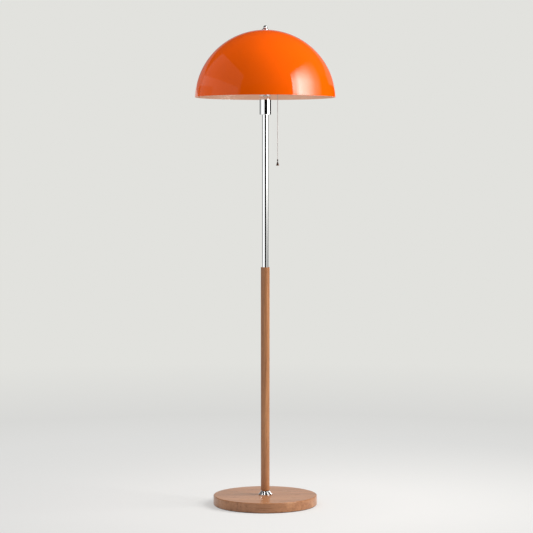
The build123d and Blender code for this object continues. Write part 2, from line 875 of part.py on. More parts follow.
with BuildPart() as lever_spring:
    with BuildSketch(pin_axis.offset(-lever_hub_width / 2 - face_gap - spring_width)):
        Circle(spring_diameter / 2)
        Circle(spring_diameter / 2 - spring_wire, mode=Mode.SUBTRACT)
    extrude(amount=spring_width)
lever_spring.part.label = "lever_spring"
export_step(lever_spring.part, "parts/lever_spring.step")


def wheel_corners():
    """Corners of the ratchet wheel: each tooth rises slowly and drops at once."""
    tip = wheel_diameter / 2
    corners = []
    for i in range(wheel_teeth):
        turn = radians(360 * i / wheel_teeth)
        corners.append(((tip - wheel_tooth) * cos(turn), (tip - wheel_tooth) * sin(turn)))
        corners.append((tip * cos(turn), tip * sin(turn)))
    return corners[1:] + corners[:1]


with BuildPart() as ratchet_wheel:
    with BuildSketch(pin_axis.offset(lever_hub_width / 2 + face_gap)):
        with BuildLine():
            Polyline(*wheel_corners(), close=True)
        make_face()
        Circle(pin_diameter / 2 + running_clearance, mode=Mode.SUBTRACT)
    extrude(amount=wheel_width)
ratchet_wheel.part.label = "ratchet_wheel"
export_step(ratchet_wheel.part, "parts/ratchet_wheel.step")

# A spring strip that hangs from the pocket's roof beside the wheel
blade_x = pin_x + wheel_diameter / 2 + face_gap

with BuildPart() as contact_blade:
    with BuildSketch(Plane.XY.offset(pin_z)):
        with Locations((blade_x + blade_sheet / 2, pocket_width / 2 - blade_width / 2)):
            Rectangle(blade_sheet, blade_width)
    extrude(amount=pocket_top - pin_z)
contact_blade.part.label = "contact_blade"
export_step(contact_blade.part, "parts/contact_blade.step")

# ---- Chain nozzle, chain and pull ---------------------------------------------------------------

nozzle_start = pocket_front + face_gap
nozzle_end = chain_reach - nozzle_short_of_chain
flare_start = nozzle_end - nozzle_flare
mouth_radius = nozzle_mouth / 2
collar_x = shell_radius + face_gap
collar_radius = nozzle_collar_diameter / 2
nozzle_outside = [
    (nozzle_radius, nozzle_start),
    (nozzle_radius, flare_start),
    (mouth_radius - nozzle_lip_turn, nozzle_end - nozzle_lip),
    (mouth_radius, nozzle_end),
]
nozzle_inside = [
    (nozzle_bore / 2, nozzle_start),
    (nozzle_bore / 2, nozzle_end - mouth_flare),
    (mouth_radius - nozzle_wall, nozzle_end),
]

with BuildPart() as chain_nozzle:
    with Locations(Location((0, 0, chain_z), (0, 90, 0))):
        add(turned(nozzle_outside, nozzle_sides))
        add(turned([(collar_radius, collar_x), (collar_radius, collar_x + nozzle_collar)], nozzle_sides))
        add(turned(nozzle_inside, nozzle_sides), mode=Mode.SUBTRACT)
chain_nozzle.part.label = "chain_nozzle"
export_step(chain_nozzle.part, "parts/chain_nozzle.step")

# A bead tapers to the waist that joins it to the next. At the nozzle's mouth the chain is cut into
# single beads, each with a short waist, so that it can round the corner and swing both ways.
link_half = bead_pitch / 2
hung_half = bead_pitch - bead_radius - pivot_clearance


def bead(below, above):
    """One bead about its own centre, with a waist of its own length at each end."""
    return turned([(waist_radius, -below), (bead_radius, 0), (waist_radius, above)], bead_sides)


lead_places = [
    Location((lever_bead + i * bead_pitch, 0, chain_z), (0, 90, 0)) for i in range(lead_beads)
]

with BuildPart() as chain_lead:
    with Locations(*lead_places[:-1]):
        add(bead(link_half, link_half))
    with Locations(lead_places[-1]):
        add(bead(link_half, bead_radius))
chain_lead.part.label = "chain_lead"
export_step(chain_lead.part, "parts/chain_lead.step")

with BuildPart() as chain_bead_corner:
    with Locations(Location((chain_reach - bead_pitch, 0, chain_z), (0, 90, 0))):
        add(bead(bead_radius, bead_radius))
chain_bead_corner.part.label = "chain_bead_corner"
export_step(chain_bead_corner.part, "parts/chain_bead_corner.step")

with BuildPart() as chain_bead_top:
    with Locations((chain_reach, 0, chain_z)):
        add(bead(bead_radius, bead_radius))
chain_bead_top.part.label = "chain_bead_top"
export_step(chain_bead_top.part, "parts/chain_bead_top.step")

with BuildPart() as chain_bead_second:
    with Locations((chain_reach, 0, chain_z - bead_pitch)):
        add(bead(bead_radius, hung_half))
chain_bead_second.part.label = "chain_bead_second"
export_step(chain_bead_second.part, "parts/chain_bead_second.step")

hanging_places = [(chain_reach, 0, chain_z - i * bead_pitch) for i in range(2, chain_beads)]

with BuildPart() as pull_chain:
    with Locations(hanging_places[0]):
        add(bead(link_half, hung_half))
    with Locations(*hanging_places[1:]):
        add(bead(link_half, link_half))
pull_chain.part.label = "pull_chain"
export_step(pull_chain.part, "parts/pull_chain.step")

connector_top = hanging_places[-1][2] - link_half
connector_foot = connector_top - connector_height
connector_radius = connector_diameter / 2
connector_outline = [
    (waist_radius, connector_foot),
    (connector_radius, connector_foot + connector_foot_taper),
    (connector_radius, connector_top - connector_head_taper),
    (waist_radius, connector_top),
]

with BuildPart() as chain_connector:
    with Locations((chain_reach, 0, 0)):
        add(turned(connector_outline, connector_sides))
chain_connector.part.label = "chain_connector"
export_step(chain_connector.part, "parts/chain_connector.step")

bell_top = connector_foot - pivot_clearance
bell_foot = bell_top - bell_height
bell_middle = bell_top - bell_height / 2
bell_outside = [
    (bell_mouth / 2, bell_foot),
    (bell_waist / 2, bell_middle),
    (bell_neck / 2, bell_top - bell_crown_height),
    (bell_crown / 2, bell_top),
]
bell_inside = [
    (bell_mouth / 2 - bell_wall, bell_foot),
    (bell_waist / 2 - bell_wall, bell_middle),
    (waist_radius, bell_top - bell_roof),
]

with BuildPart() as pull_bell:
    with Locations((chain_reach, 0, 0)):
        add(turned(bell_outside, bell_sides))
        add(turned(bell_inside, bell_sides), mode=Mode.SUBTRACT)
pull_bell.part.label = "pull_bell"
export_step(pull_bell.part, "parts/pull_bell.step")

# ---- Bulb ---------------------------------------------------------------------------------------

bulb_foot = body_top + contact_rise + face_gap
bulb_cap_top = bulb_foot + bulb_cap_length
bulb_cap_radius = bulb_cap_diameter / 2
bulb_radius = bulb_diameter / 2
bulb_centre = bulb_foot + bulb_length - bulb_radius

with BuildPart() as bulb_cap:
    add(
        turned(
            [
                (bulb_tip / 2, bulb_foot),
                (bulb_cap_radius, bulb_foot + bulb_cap_taper),
                (bulb_cap_radius, bulb_cap_top),
            ],
            bulb_sides,
        )
    )
bulb_cap.part.label = "bulb_cap"
export_step(bulb_cap.part, "parts/bulb_cap.step")


def bulb_arc():
    """Rings of the bulb's globe, from its shoulder up to its crown."""
    sweep_angle = bulb_crown_angle + bulb_shoulder_angle
    turns = [
        radians(sweep_angle * i / bulb_bands - bulb_shoulder_angle) for i in range(bulb_bands + 1)
    ]
    return [(bulb_radius * cos(t), bulb_centre + bulb_radius * sin(t)) for t in turns]


with BuildPart() as bulb_globe:
    neck_rings = [
        (bulb_cap_radius, bulb_cap_top),
        (bulb_neck / 2, bulb_cap_top + bulb_neck_length),
    ]
    add(turned(neck_rings + bulb_arc(), bulb_sides))
bulb_globe.part.label = "bulb_globe"
export_step(bulb_globe.part, "parts/bulb_globe.step")

print("least wire bend of the harp", min(harp_bends), "mm")
print("top of the finial", finial_top, "mm")
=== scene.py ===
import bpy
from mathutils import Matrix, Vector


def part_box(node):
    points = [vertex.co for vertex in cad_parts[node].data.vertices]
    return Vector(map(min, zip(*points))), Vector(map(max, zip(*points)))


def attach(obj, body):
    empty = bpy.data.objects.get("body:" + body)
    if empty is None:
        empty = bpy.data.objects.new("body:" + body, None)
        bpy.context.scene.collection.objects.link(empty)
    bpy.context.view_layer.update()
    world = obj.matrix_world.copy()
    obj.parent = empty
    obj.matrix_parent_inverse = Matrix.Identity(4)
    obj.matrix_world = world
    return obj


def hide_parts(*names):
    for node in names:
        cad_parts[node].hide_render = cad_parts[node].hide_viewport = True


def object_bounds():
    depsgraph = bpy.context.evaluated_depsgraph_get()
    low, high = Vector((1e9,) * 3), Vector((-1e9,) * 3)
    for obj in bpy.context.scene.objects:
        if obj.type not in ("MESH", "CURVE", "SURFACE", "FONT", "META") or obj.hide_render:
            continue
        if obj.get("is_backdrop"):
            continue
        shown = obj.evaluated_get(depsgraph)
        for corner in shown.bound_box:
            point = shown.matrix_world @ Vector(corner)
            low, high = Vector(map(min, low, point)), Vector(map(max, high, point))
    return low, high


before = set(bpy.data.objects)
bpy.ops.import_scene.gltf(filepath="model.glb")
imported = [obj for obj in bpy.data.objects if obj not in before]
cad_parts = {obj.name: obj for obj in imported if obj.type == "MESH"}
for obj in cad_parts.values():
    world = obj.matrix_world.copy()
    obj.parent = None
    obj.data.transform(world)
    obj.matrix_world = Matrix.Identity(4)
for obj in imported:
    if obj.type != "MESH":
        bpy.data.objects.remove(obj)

"""Looks of a mushroom floor lamp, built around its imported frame.

The lamp stands at the origin, +Z up, with its pull chain at +X, its cord outlet at +Y and its harp
in the YZ plane. All lengths are in metres.
"""

import logging
from dataclasses import dataclass
from enum import Enum
from math import acos, asin, cos, pi, radians, sin, sqrt, tan

import bmesh
import bpy
from mathutils import Matrix, Vector

LOG = logging.getLogger("mushroom_lamp")
CAD_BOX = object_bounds()
MM = 0.001
WELD = 0.002 * MM

Colour = tuple[float, float, float, float]
Ring = tuple[float, float]


# ---- Help with node trees -----------------------------------------------------------------------


class Graph:
    """Short calls that add and join the nodes of one tree."""

    def __init__(self, tree: bpy.types.NodeTree) -> None:
        """Keeps the tree.

        Args:
            tree: the node tree that the calls add to.
        """
        self.tree = tree

    def node(self, kind: str, inputs: dict | None = None, **settings: object) -> bpy.types.Node:
        """Adds one node.

        Args:
            kind: the node's type name.
            inputs: values or output sockets for its inputs, by name or number.
            settings: attributes of the node.

        Returns:
            The node.
        """
        made = self.tree.nodes.new(kind)
        for key, value in settings.items():
            setattr(made, key, value)
        for key, value in (inputs or {}).items():
            self.feed(made.inputs[key], value)
        return made

    def feed(self, socket: bpy.types.NodeSocket, value: object) -> None:
        """Joins an output to a socket, or sets the socket's own value.

        Args:
            socket: the input.
            value: an output socket or a plain value.
        """
        if isinstance(value, bpy.types.NodeSocket):
            self.tree.links.new(value, socket)
        else:
            socket.default_value = value

    def math(self, operation: str, first: object, second: object = 0.0) -> bpy.types.NodeSocket:
        """One sum on numbers, as an output socket.

        Args:
            operation: the Math node's operation.
            first: the first number or socket.
            second: the second one, where the operation has it.

        Returns:
            The result's socket.
        """
        made = self.node("ShaderNodeMath", operation=operation)
        self.feed(made.inputs[0], first)
        self.feed(made.inputs[1], second)
        return made.outputs[0]

    def span(
        self, value: object, low: float, high: float, to_low: float, to_high: float
    ) -> bpy.types.NodeSocket:
        """Maps a range to another one, held at its ends.

        Args:
            value: the socket to map.
            low: where the range starts.
            high: where it ends.
            to_low: result at the start.
            to_high: result at the end.

        Returns:
            The result's socket.
        """
        numbers = {"From Min": low, "From Max": high, "To Min": to_low, "To Max": to_high}
        made = self.node("ShaderNodeMapRange", {"Value": value, **numbers}, clamp=True)
        return made.outputs["Result"]

    def ramp(self, value: object, stops: list[tuple[float, Colour]]) -> bpy.types.NodeSocket:
        """A colour ramp.

        Args:
            value: what runs along the ramp.
            stops: places and colours.

        Returns:
            The colour's socket.
        """
        made = self.node("ShaderNodeValToRGB", {"Fac": value})
        while len(made.color_ramp.elements) < len(stops):
            made.color_ramp.elements.new(1.0)
        for element, (place, colour) in zip(made.color_ramp.elements, stops):
            element.position = place
            element.color = colour
        return made.outputs["Color"]

    def noise(
        self, where: object, scale: float, detail: float = 3.0, rough: float = 0.5
    ) -> bpy.types.NodeSocket:
        """A noise pattern, from 0 to 1.

        Args:
            where: the place's socket.
            scale: waves in a metre.
            detail: octaves.
            rough: weight of the finer octaves.

        Returns:
            The pattern's socket.
        """
        numbers = {"Vector": where, "Scale": scale, "Detail": detail, "Roughness": rough}
        return self.node("ShaderNodeTexNoise", numbers).outputs["Fac"]

    def place(
        self,
        scale: tuple[float, float, float] = (1.0, 1.0, 1.0),
        turn: tuple[float, float, float] = (0.0, 0.0, 0.0),
        shift: tuple[float, float, float] = (0.0, 0.0, 0.0),
    ) -> bpy.types.NodeSocket:
        """Object coordinates, stretched, turned and shifted.

        Args:
            scale: factors along the axes.
            turn: angles about the axes, in radians.
            shift: what is added.

        Returns:
            The place's socket.
        """
        here = self.node("ShaderNodeTexCoord").outputs["Object"]
        values = {"Vector": here, "Scale": scale, "Rotation": turn, "Location": shift}
        return self.node("ShaderNodeMapping", values).outputs["Vector"]

    def bump(self, height: object, strength: float, distance: float) -> bpy.types.NodeSocket:
        """A bumped normal.

        Args:
            height: the height's socket.
            strength: from 0 to 1.
            distance: height of a full step, in metres.

        Returns:
            The normal's socket.
        """
        values = {"Height": height, "Strength": strength, "Distance": distance}
        return self.node("ShaderNodeBump", values).outputs["Normal"]


# ---- Finishes -----------------------------------------------------------------------------------


@dataclass(frozen=True)
class Finish:
    """A finish: what it is called, and the shader values that are the same all over it."""

    title: str
    colour: Colour = (0.8, 0.8, 0.8, 1.0)
    metallic: float = 0.0
    roughness: float = 0.4
    refraction: float = 1.5
    coat: float = 0.0
    sheen: float = 0.0

    def material(self) -> bpy.types.Material:
        """The finish's material, made once.

        Returns:
            The material.
        """
        made = bpy.data.materials.get(self.title)
        if made is None:
            made = bpy.data.materials.new(self.title)
            made.use_nodes = True
            graph = Graph(made.node_tree)
            shader = made.node_tree.nodes["Principled BSDF"]
            shader.inputs["Base Color"].default_value = self.colour
            shader.inputs["Metallic"].default_value = self.metallic
            shader.inputs["Roughness"].default_value = self.roughness
            shader.inputs["IOR"].default_value = self.refraction
            shader.inputs["Coat Weight"].default_value = self.coat
            shader.inputs["Sheen Weight"].default_value = self.sheen
            self.detail(graph, shader.inputs)
        return made

    def detail(self, graph: Graph, surface: bpy.types.NodeInputs) -> None:
        """Adds what varies over the surface.

        Args:
            graph: the material's tree.
            surface: the shader's inputs.
        """

    def tone(self, graph: Graph, pattern: object, spread: float) -> bpy.types.NodeSocket:
        """The finish's colour, darker and lighter along a pattern.

        Args:
            graph: the material's tree.
            pattern: a socket from 0 to 1.
            spread: share by which the colour changes each way.

        Returns:
            The colour's socket.
        """
        low = tuple(c * (1 - spread) for c in self.colour[:3]) + (1.0,)
        high = tuple(min(c * (1 + spread), 1.0) for c in self.colour[:3]) + (1.0,)
        return graph.ramp(pattern, [(0.3, low), (0.7, high)])


@dataclass(frozen=True)
class Enamel(Finish):
    """Sprayed gloss paint, with the faint waviness that it dries with."""

    waves: float = 60.0
    peel: float = 0.04

    def detail(self, graph: Graph, surface: bpy.types.NodeInputs) -> None:
        """Cloudy tone, fine peel and small changes of gloss."""
        here = graph.place()
        cloud = graph.noise(here, 9.0, 2.0)
        graph.feed(surface["Base Color"], self.tone(graph, cloud, 0.025))
        gloss = graph.noise(here, 35.0, 4.0)
        low, high = self.roughness * 0.8, self.roughness * 1.25
        graph.feed(surface["Roughness"], graph.span(gloss, 0.3, 0.7, low, high))
        peel = graph.noise(here, self.waves, 2.0)
        graph.feed(surface["Normal"], graph.bump(peel, self.peel, 0.1 * MM))


@dataclass(frozen=True)
class Plating(Finish):
    """Polished plating, with faint haze and hairlines from wiping."""

    metallic: float = 1.0
    roughness: float = 0.05
    haze: float = 0.05
    grain: tuple[float, float, float] = (1.0, 1.0, 1.0)
    ripple: float = 0.05

    def detail(self, graph: Graph, surface: bpy.types.NodeInputs) -> None:
        """Haze in patches, with fine hairlines over it."""
        patches = graph.noise(graph.place(), 45.0, 4.0)
        hairs = graph.noise(graph.place(self.grain), 900.0, 2.0, 0.7)
        haze = graph.span(patches, 0.35, 0.75, self.roughness, self.roughness + self.haze)
        graph.feed(surface["Roughness"], haze)
        graph.feed(surface["Base Color"], self.tone(graph, hairs, 0.03))
        graph.feed(surface["Normal"], graph.bump(hairs, self.ripple, 0.01 * MM))


@dataclass(frozen=True)
class Timber(Finish):
    """Lacquered reddish brown timber, with pores, streaks and broad bands along its grain."""

    light: Colour = (0.5, 0.25, 0.13, 1.0)
    dark: Colour = (0.3, 0.13, 0.06, 1.0)
    stretch: tuple[float, float, float] = (1.0, 1.0, 0.05)
    turn: tuple[float, float, float] = (0.0, 0.0, 0.0)
    drift: float = 0.03

    def detail(self, graph: Graph, surface: bpy.types.NodeInputs) -> None:
        """Bands, streaks and pores, which also dull and dent the lacquer a little."""
        along = graph.place(self.stretch, self.turn)
        bend = graph.noise(along, 16.0, 3.0, 0.5)
        drift = graph.node("ShaderNodeCombineXYZ", {"X": graph.math("MULTIPLY", bend, self.drift)})
        swell = graph.node("ShaderNodeVectorMath", {0: along, 1: drift.outputs[0]}, operation="ADD")
        bands = graph.noise(swell.outputs[0], 38.0, 3.0, 0.55)
        streaks = graph.noise(swell.outputs[0], 190.0, 4.0, 0.6)
        pores = graph.noise(swell.outputs[0], 950.0, 2.0, 0.6)
        mixed = graph.math("ADD", graph.math("MULTIPLY", streaks, 0.45), graph.math("MULTIPLY", bands, 0.55))
        ground = graph.ramp(mixed, [(0.34, self.dark), (0.52, self.colour), (0.68, self.light)])
        pits = graph.span(pores, 0.60, 0.72, 1.0, 0.72)
        tinted = graph.node("ShaderNodeVectorMath", {0: ground}, operation="SCALE")
        graph.feed(tinted.inputs["Scale"], pits)
        graph.feed(surface["Base Color"], tinted.outputs[0])
        low, high = self.roughness * 0.85, self.roughness * 1.2
        graph.feed(surface["Roughness"], graph.span(streaks, 0.3, 0.7, low, high))
        graph.feed(surface["Normal"], graph.bump(pits, 0.25, 0.05 * MM))


@dataclass(frozen=True)
class Moulding(Finish):
    """Moulded plastic or fibre, with a fine grain."""

    grain: float = 700.0
    depth: float = 0.2

    def detail(self, graph: Graph, surface: bpy.types.NodeInputs) -> None:
        """A fine grain in colour, gloss and height."""
        speckle = graph.noise(graph.place(), self.grain, 3.0, 0.6)
        graph.feed(surface["Base Color"], self.tone(graph, speckle, 0.12))
        low, high = self.roughness * 0.85, min(self.roughness * 1.15, 1.0)
        graph.feed(surface["Roughness"], graph.span(speckle, 0.3, 0.7, low, high))
        graph.feed(surface["Normal"], graph.bump(speckle, self.depth, 0.05 * MM))


@dataclass(frozen=True)
class Felt(Finish):
    """Pressed felt, with tangled fibres."""

    def detail(self, graph: Graph, surface: bpy.types.NodeInputs) -> None:
        """Fibres in colour and height."""
        fibres = graph.noise(graph.place((1.0, 0.3, 1.0), (0.0, 0.0, 0.6)), 1400.0, 5.0, 0.75)
        graph.feed(surface["Base Color"], self.tone(graph, fibres, 0.35))
        graph.feed(surface["Normal"], graph.bump(fibres, 0.6, 0.2 * MM))


@dataclass(frozen=True)
class WornBronze(Finish):
    """Dark bronzed brass, rubbed lighter below a given height."""

    bright: Colour = (0.16, 0.08, 0.045, 1.0)
    worn_below: float = 0.0
    worn_over: float = 4 * MM

    def detail(self, graph: Graph, surface: bpy.types.NodeInputs) -> None:
        """Dark above, brighter and smoother where hands rub the mouth."""
        here = graph.place()
        height = graph.node("ShaderNodeSeparateXYZ", {0: here}).outputs["Z"]
        wear = graph.span(height, self.worn_below, self.worn_below + self.worn_over, 1.0, 0.0)
        patchy = graph.math("MULTIPLY", wear, graph.span(graph.noise(here, 420.0), 0.35, 0.6, 0.2, 1.0))
        graph.feed(surface["Base Color"], graph.ramp(patchy, [(0.0, self.colour), (1.0, self.bright)]))
        graph.feed(surface["Roughness"], graph.span(patchy, 0.0, 1.0, self.roughness, 0.2))


class Palette(Enum):
    """The lamp's finishes."""

    ORANGE = Enamel("orange_gloss_enamel", (0.90, 0.109, 0.0012, 1.0), roughness=0.045)
    # Painted light: the pale inside enamel is given a peach colour that stands in for the orange light the
    # shade casts on its own inside.
    PALE_WITH_PAINTED_GLOW = Enamel("pale_inside_enamel_painted_orange_glow", (0.88, 0.575, 0.43, 1.0), roughness=0.35, peel=0.15)
    CHROME = Plating(
        "mirror_chrome",
        (0.83, 0.84, 0.85, 1.0),
        roughness=0.015,
        haze=0.03,
        grain=(1.0, 1.0, 0.02),
        ripple=0.008,
    )
    NICKEL = Plating("satin_nickel", (0.70, 0.68, 0.64, 1.0), roughness=0.18, haze=0.14)
    ZINC = Plating("zinc_plated_steel", (0.62, 0.62, 0.60, 1.0), roughness=0.3, haze=0.2)
    BRASS = Plating("bright_brass", (0.80, 0.57, 0.25, 1.0), roughness=0.16, haze=0.16)
    BEADS = Plating("beaded_nickel", (0.60, 0.54, 0.52, 1.0), roughness=0.42, haze=0.12)
    POLE = Timber(
        "pole_timber",
        (0.42, 0.175, 0.066, 1.0),
        roughness=0.30,
        light=(0.56, 0.26, 0.108, 1.0),
        dark=(0.26, 0.10, 0.036, 1.0),
        stretch=(1.0, 1.0, 0.045),
    )
    BASE = Timber(
        "base_timber",
        (0.43, 0.19, 0.086, 1.0),
        roughness=0.30,
        light=(0.54, 0.265, 0.128, 1.0),
        dark=(0.28, 0.113, 0.046, 1.0),
        stretch=(0.06, 1.0, 0.7),
    )
    BLACK = Moulding("black_moulding", (0.02, 0.02, 0.021, 1.0), roughness=0.45)
    PHENOLIC = Moulding("phenolic_moulding", (0.028, 0.018, 0.014, 1.0), roughness=0.2)
    FIBRE = Moulding("vulcanised_fibre", (0.36, 0.30, 0.22, 1.0), roughness=0.75)
    IRON = Moulding("painted_cast_iron", (0.035, 0.035, 0.036, 1.0), roughness=0.55, grain=260.0, depth=0.8)
    # Near-black felt: partly its own colour, partly painted shade for the dark line under the base's edge.
    FELT = Felt("dark_felt_and_painted_shade", (0.012, 0.010, 0.009, 1.0), roughness=0.95, sheen=0.1)
    OPAL = Enamel("opal_glass", (0.86, 0.85, 0.82, 1.0), roughness=0.12, coat=0.6, peel=0.02)
    BRONZE = WornBronze(
        "worn_dark_bronze", (0.045, 0.018, 0.010, 1.0), metallic=0.6, roughness=0.42, worn_below=1.0822
    )

    def material(self) -> bpy.types.Material:
        """The finish's material."""
        return self.value.material()


# ---- Help with meshes ---------------------------------------------------------------------------


@dataclass(frozen=True)
class Seat:
    """Where a CAD node is at rest."""

    low: Vector
    high: Vector

    @classmethod
    def of(cls, node: str) -> "Seat":
        """Reads a node's box.

        Args:
            node: the CAD node's name.

        Returns:
            Its seat.
        """
        return cls(*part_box(node))

    @property
    def radius(self) -> float:
        """Half the width along X."""
        return (self.high.x - self.low.x) / 2

    @property
    def foot(self) -> float:
        """Lowest height."""
        return self.low.z

    @property
    def top(self) -> float:
        """Greatest height."""
        return self.high.z

    @property
    def centre(self) -> Vector:
        """Middle of the box."""
        return (self.low + self.high) / 2


def rounded(corners: list[Ring], radii: list[float], steps: int = 5) -> list[Ring]:
    """Rounds the corners of a line of rings.

    Args:
        corners: radius and height of each corner.
        radii: radius of each corner's arc, where 0 leaves it sharp.
        steps: straight stretches in an arc.

    Returns:
        The rings of the rounded line.
    """
    line: list[Ring] = []
    for i, (corner, radius) in enumerate(zip(corners, radii)):
        if radius == 0 or i in (0, len(corners) - 1):
            line.append(corner)
            continue
        here = Vector(corner)
        back = (Vector(corners[i - 1]) - here).normalized()
        ahead = (Vector(corners[i + 1]) - here).normalized()
        half = acos(max(-1.0, min(1.0, back.dot(ahead)))) / 2
        middle = here + (back + ahead).normalized() * (radius / sin(half))
        start = here + back * (radius / tan(half)) - middle
        end = here + ahead * (radius / tan(half)) - middle
        turn = start.angle_signed(end)
        for k in range(steps + 1):
            angle = -turn * k / steps
            x = start.x * cos(angle) - start.y * sin(angle)
            y = start.x * sin(angle) + start.y * cos(angle)
            line.append((middle.x + x, middle.y + y))
    return line


def arc(centre: Ring, radius: float, start: float, end: float, steps: int) -> list[Ring]:
    """Rings along an arc.

    Args:
        centre: radius and height of the arc's centre.
        radius: its radius.
        start: where it starts, in degrees above the horizontal.
        end: where it ends.
        steps: straight stretches in it.

    Returns:
        The rings.
    """
    turns = [radians(start + (end - start) * k / steps) for k in range(steps + 1)]
    return [(centre[0] + radius * cos(t), centre[1] + radius * sin(t)) for t in turns]


def soften(mesh: bpy.types.Mesh, angle: float = 32.0) -> None:
    """Shades a mesh smooth, with sharp edges past an angle in degrees."""
    mesh.shade_smooth()
    mesh.set_sharp_from_angle(angle=radians(angle))


def piece(
    name: str, mesh: bpy.types.Mesh, finish: Palette, body: str, nodes: list[str]
) -> bpy.types.Object:
    """Makes a finished mesh into a piece of the lamp.

    Args:
        name: the piece's name.
        mesh: its mesh, in place.
        finish: its finish, unless the mesh already has materials.
        body: the CAD body that it rides on.
        nodes: the CAD nodes that it stands for.

    Returns:
        The piece.
    """
    made = bpy.data.objects.new(name, mesh)
    bpy.context.scene.collection.objects.link(made)
    if not mesh.materials:
        mesh.materials.append(finish.material())
    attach(made, body)
    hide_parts(*nodes)
    LOG.info("%s: %d faces, on %s", name, len(mesh.polygons), body)
    return made


def held(outline: list[Ring], hold: float = 0.3 * MM) -> list[Ring]:
    """Adds a ring near both ends of each long straight stretch, so that smooth shading keeps it straight.

    Args:
        outline: the rings.
        hold: from a stretch's end to the added ring.

    Returns:
        The rings with the added ones.
    """
    lengths = [(Vector(end) - Vector(start)).length for start, end in zip(outline, outline[1:])]
    line = outline[:1]
    for k, (start, end) in enumerate(zip(outline, outline[1:])):
        beside = min(lengths[max(k - 1, 0)], lengths[min(k + 1, len(lengths) - 1)])
        if lengths[k] > max(4 * hold, 3 * beside):
            step = (Vector(end) - Vector(start)).normalized() * hold
            line += [tuple(Vector(start) + step), tuple(Vector(end) - step)]
        line.append(end)
    return line


def lathe(
    name: str, outline: list[Ring], sides: int = 96, closed: bool = False, along: Matrix | None = None
) -> bpy.types.Mesh:
    """Turns an outline about the Z axis.

    Args:
        name: the mesh's name.
        outline: rings (radius, height), anticlockwise as seen with the axis at the left.
        sides: faces in a ring.
        closed: joins the outline's end to its start.
        along: puts the turned form elsewhere.

    Returns:
        The mesh.
    """
    form = bmesh.new()
    rings = []
    for radius, height in held(outline + outline[:1])[:-1] if closed else held(outline):
        if radius < WELD:
            rings.append([form.verts.new((0.0, 0.0, height))] * sides)
            continue
        turns = [2 * pi * k / sides for k in range(sides)]
        rings.append([form.verts.new((radius * cos(t), radius * sin(t), height)) for t in turns])
    pairs = list(zip(rings, rings[1:] + rings[:1])) if closed else list(zip(rings, rings[1:]))
    for lower, upper in pairs:
        for k in range(sides):
            following = (k + 1) % sides
            corners = [lower[k], lower[following], upper[following], upper[k]]
            distinct = list(dict.fromkeys(corners))
            if len(distinct) > 2:
                form.faces.new(distinct)
    form.normal_update()
    mesh = bpy.data.meshes.new(name)
    form.to_mesh(mesh)
    form.free()
    if along is not None:
        mesh.transform(along)
    soften(mesh)
    return mesh


def eased_copy(name: str, node: str, width: float, angle: float = 40.0) -> bpy.types.Mesh:
    """A merged copy of a CAD node, with its edges eased.

    Args:
        name: the mesh's name.
        node: the CAD node.
        width: width of the eased edges.
        angle: edges sharper than this many degrees are eased.

    Returns:
        The mesh.
    """
    form = bmesh.new()
    form.from_mesh(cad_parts[node].data)
    bmesh.ops.remove_doubles(form, verts=form.verts, dist=WELD)
    bmesh.ops.dissolve_limit(form, angle_limit=radians(1.0), verts=form.verts, edges=form.edges)
    mesh = bpy.data.meshes.new(name)
    form.to_mesh(mesh)
    form.free()
    mesh.materials.clear()
    carrier = bpy.data.objects.new(name, mesh)
    bpy.context.scene.collection.objects.link(carrier)
    bevel = carrier.modifiers.new("eased", "BEVEL")
    bevel.width = width
    bevel.segments = 2
    bevel.limit_method = "ANGLE"
    bevel.angle_limit = radians(angle)
    eased = applied(carrier, name)
    soften(eased)
    return eased


def applied(carrier: bpy.types.Object, name: str) -> bpy.types.Mesh:
    """Turns an object with its modifiers into a plain mesh, and removes the object.

    Args:
        carrier: the object.
        name: the new mesh's name.

    Returns:
        The mesh.
    """
    depsgraph = bpy.context.evaluated_depsgraph_get()
    mesh = bpy.data.meshes.new_from_object(carrier.evaluated_get(depsgraph))
    bpy.data.objects.remove(carrier)
    mesh.name = name
    return mesh


def grown(name: str, tree: bpy.types.NodeTree, values: dict) -> bpy.types.Mesh:
    """Runs a Geometry Nodes tree with its named inputs set.

    Args:
        name: the mesh's name.
        tree: the tree.
        values: the inputs' values, by name.

    Returns:
        The mesh.
    """
    carrier = bpy.data.objects.new(name, bpy.data.meshes.new(name + "_seed"))
    bpy.context.scene.collection.objects.link(carrier)
    modifier = carrier.modifiers.new("grown", "NODES")
    modifier.node_group = tree
    for item in tree.interface.items_tree:
        if item.in_out == "INPUT" and item.name in values:
            modifier[item.identifier] = values[item.name]
    mesh = applied(carrier, name)
    soften(mesh)
    return mesh


class FormTree(Graph):
    """A Geometry Nodes tree with named inputs for its sizes."""

    def __init__(self, name: str, inputs: dict[str, str]) -> None:
        """Makes the tree and its inputs.

        Args:
            name: the tree's name.
            inputs: the inputs' names and socket types.
        """
        super().__init__(bpy.data.node_groups.new(name, "GeometryNodeTree"))
        for title, kind in inputs.items():
            self.tree.interface.new_socket(name=title, in_out="INPUT", socket_type=kind)
        self.tree.interface.new_socket(name="Geometry", in_out="OUTPUT", socket_type="NodeSocketGeometry")
        self.given = self.tree.nodes.new("NodeGroupInput").outputs

    def end(self, form: object, finish: object, weld: bool = False) -> bpy.types.NodeTree:
        """Ends the tree in Realize Instances and Set Material.

        Args:
            form: the geometry's socket.
            finish: the material's socket, or None where the form has its materials.
            weld: merges points that meet.

        Returns:
            The tree.
        """
        plain = self.node("GeometryNodeRealizeInstances", {"Geometry": form}).outputs[0]
        if weld:
            plain = self.node("GeometryNodeMergeByDistance", {"Geometry": plain, "Distance": WELD}).outputs[0]
        if finish is not None:
            plain = self.node("GeometryNodeSetMaterial", {"Geometry": plain, "Material": finish}).outputs[0]
        result = self.tree.nodes.new("NodeGroupOutput")
        self.feed(result.inputs[0], plain)
        return self.tree


# ---- Base ---------------------------------------------------------------------------------------


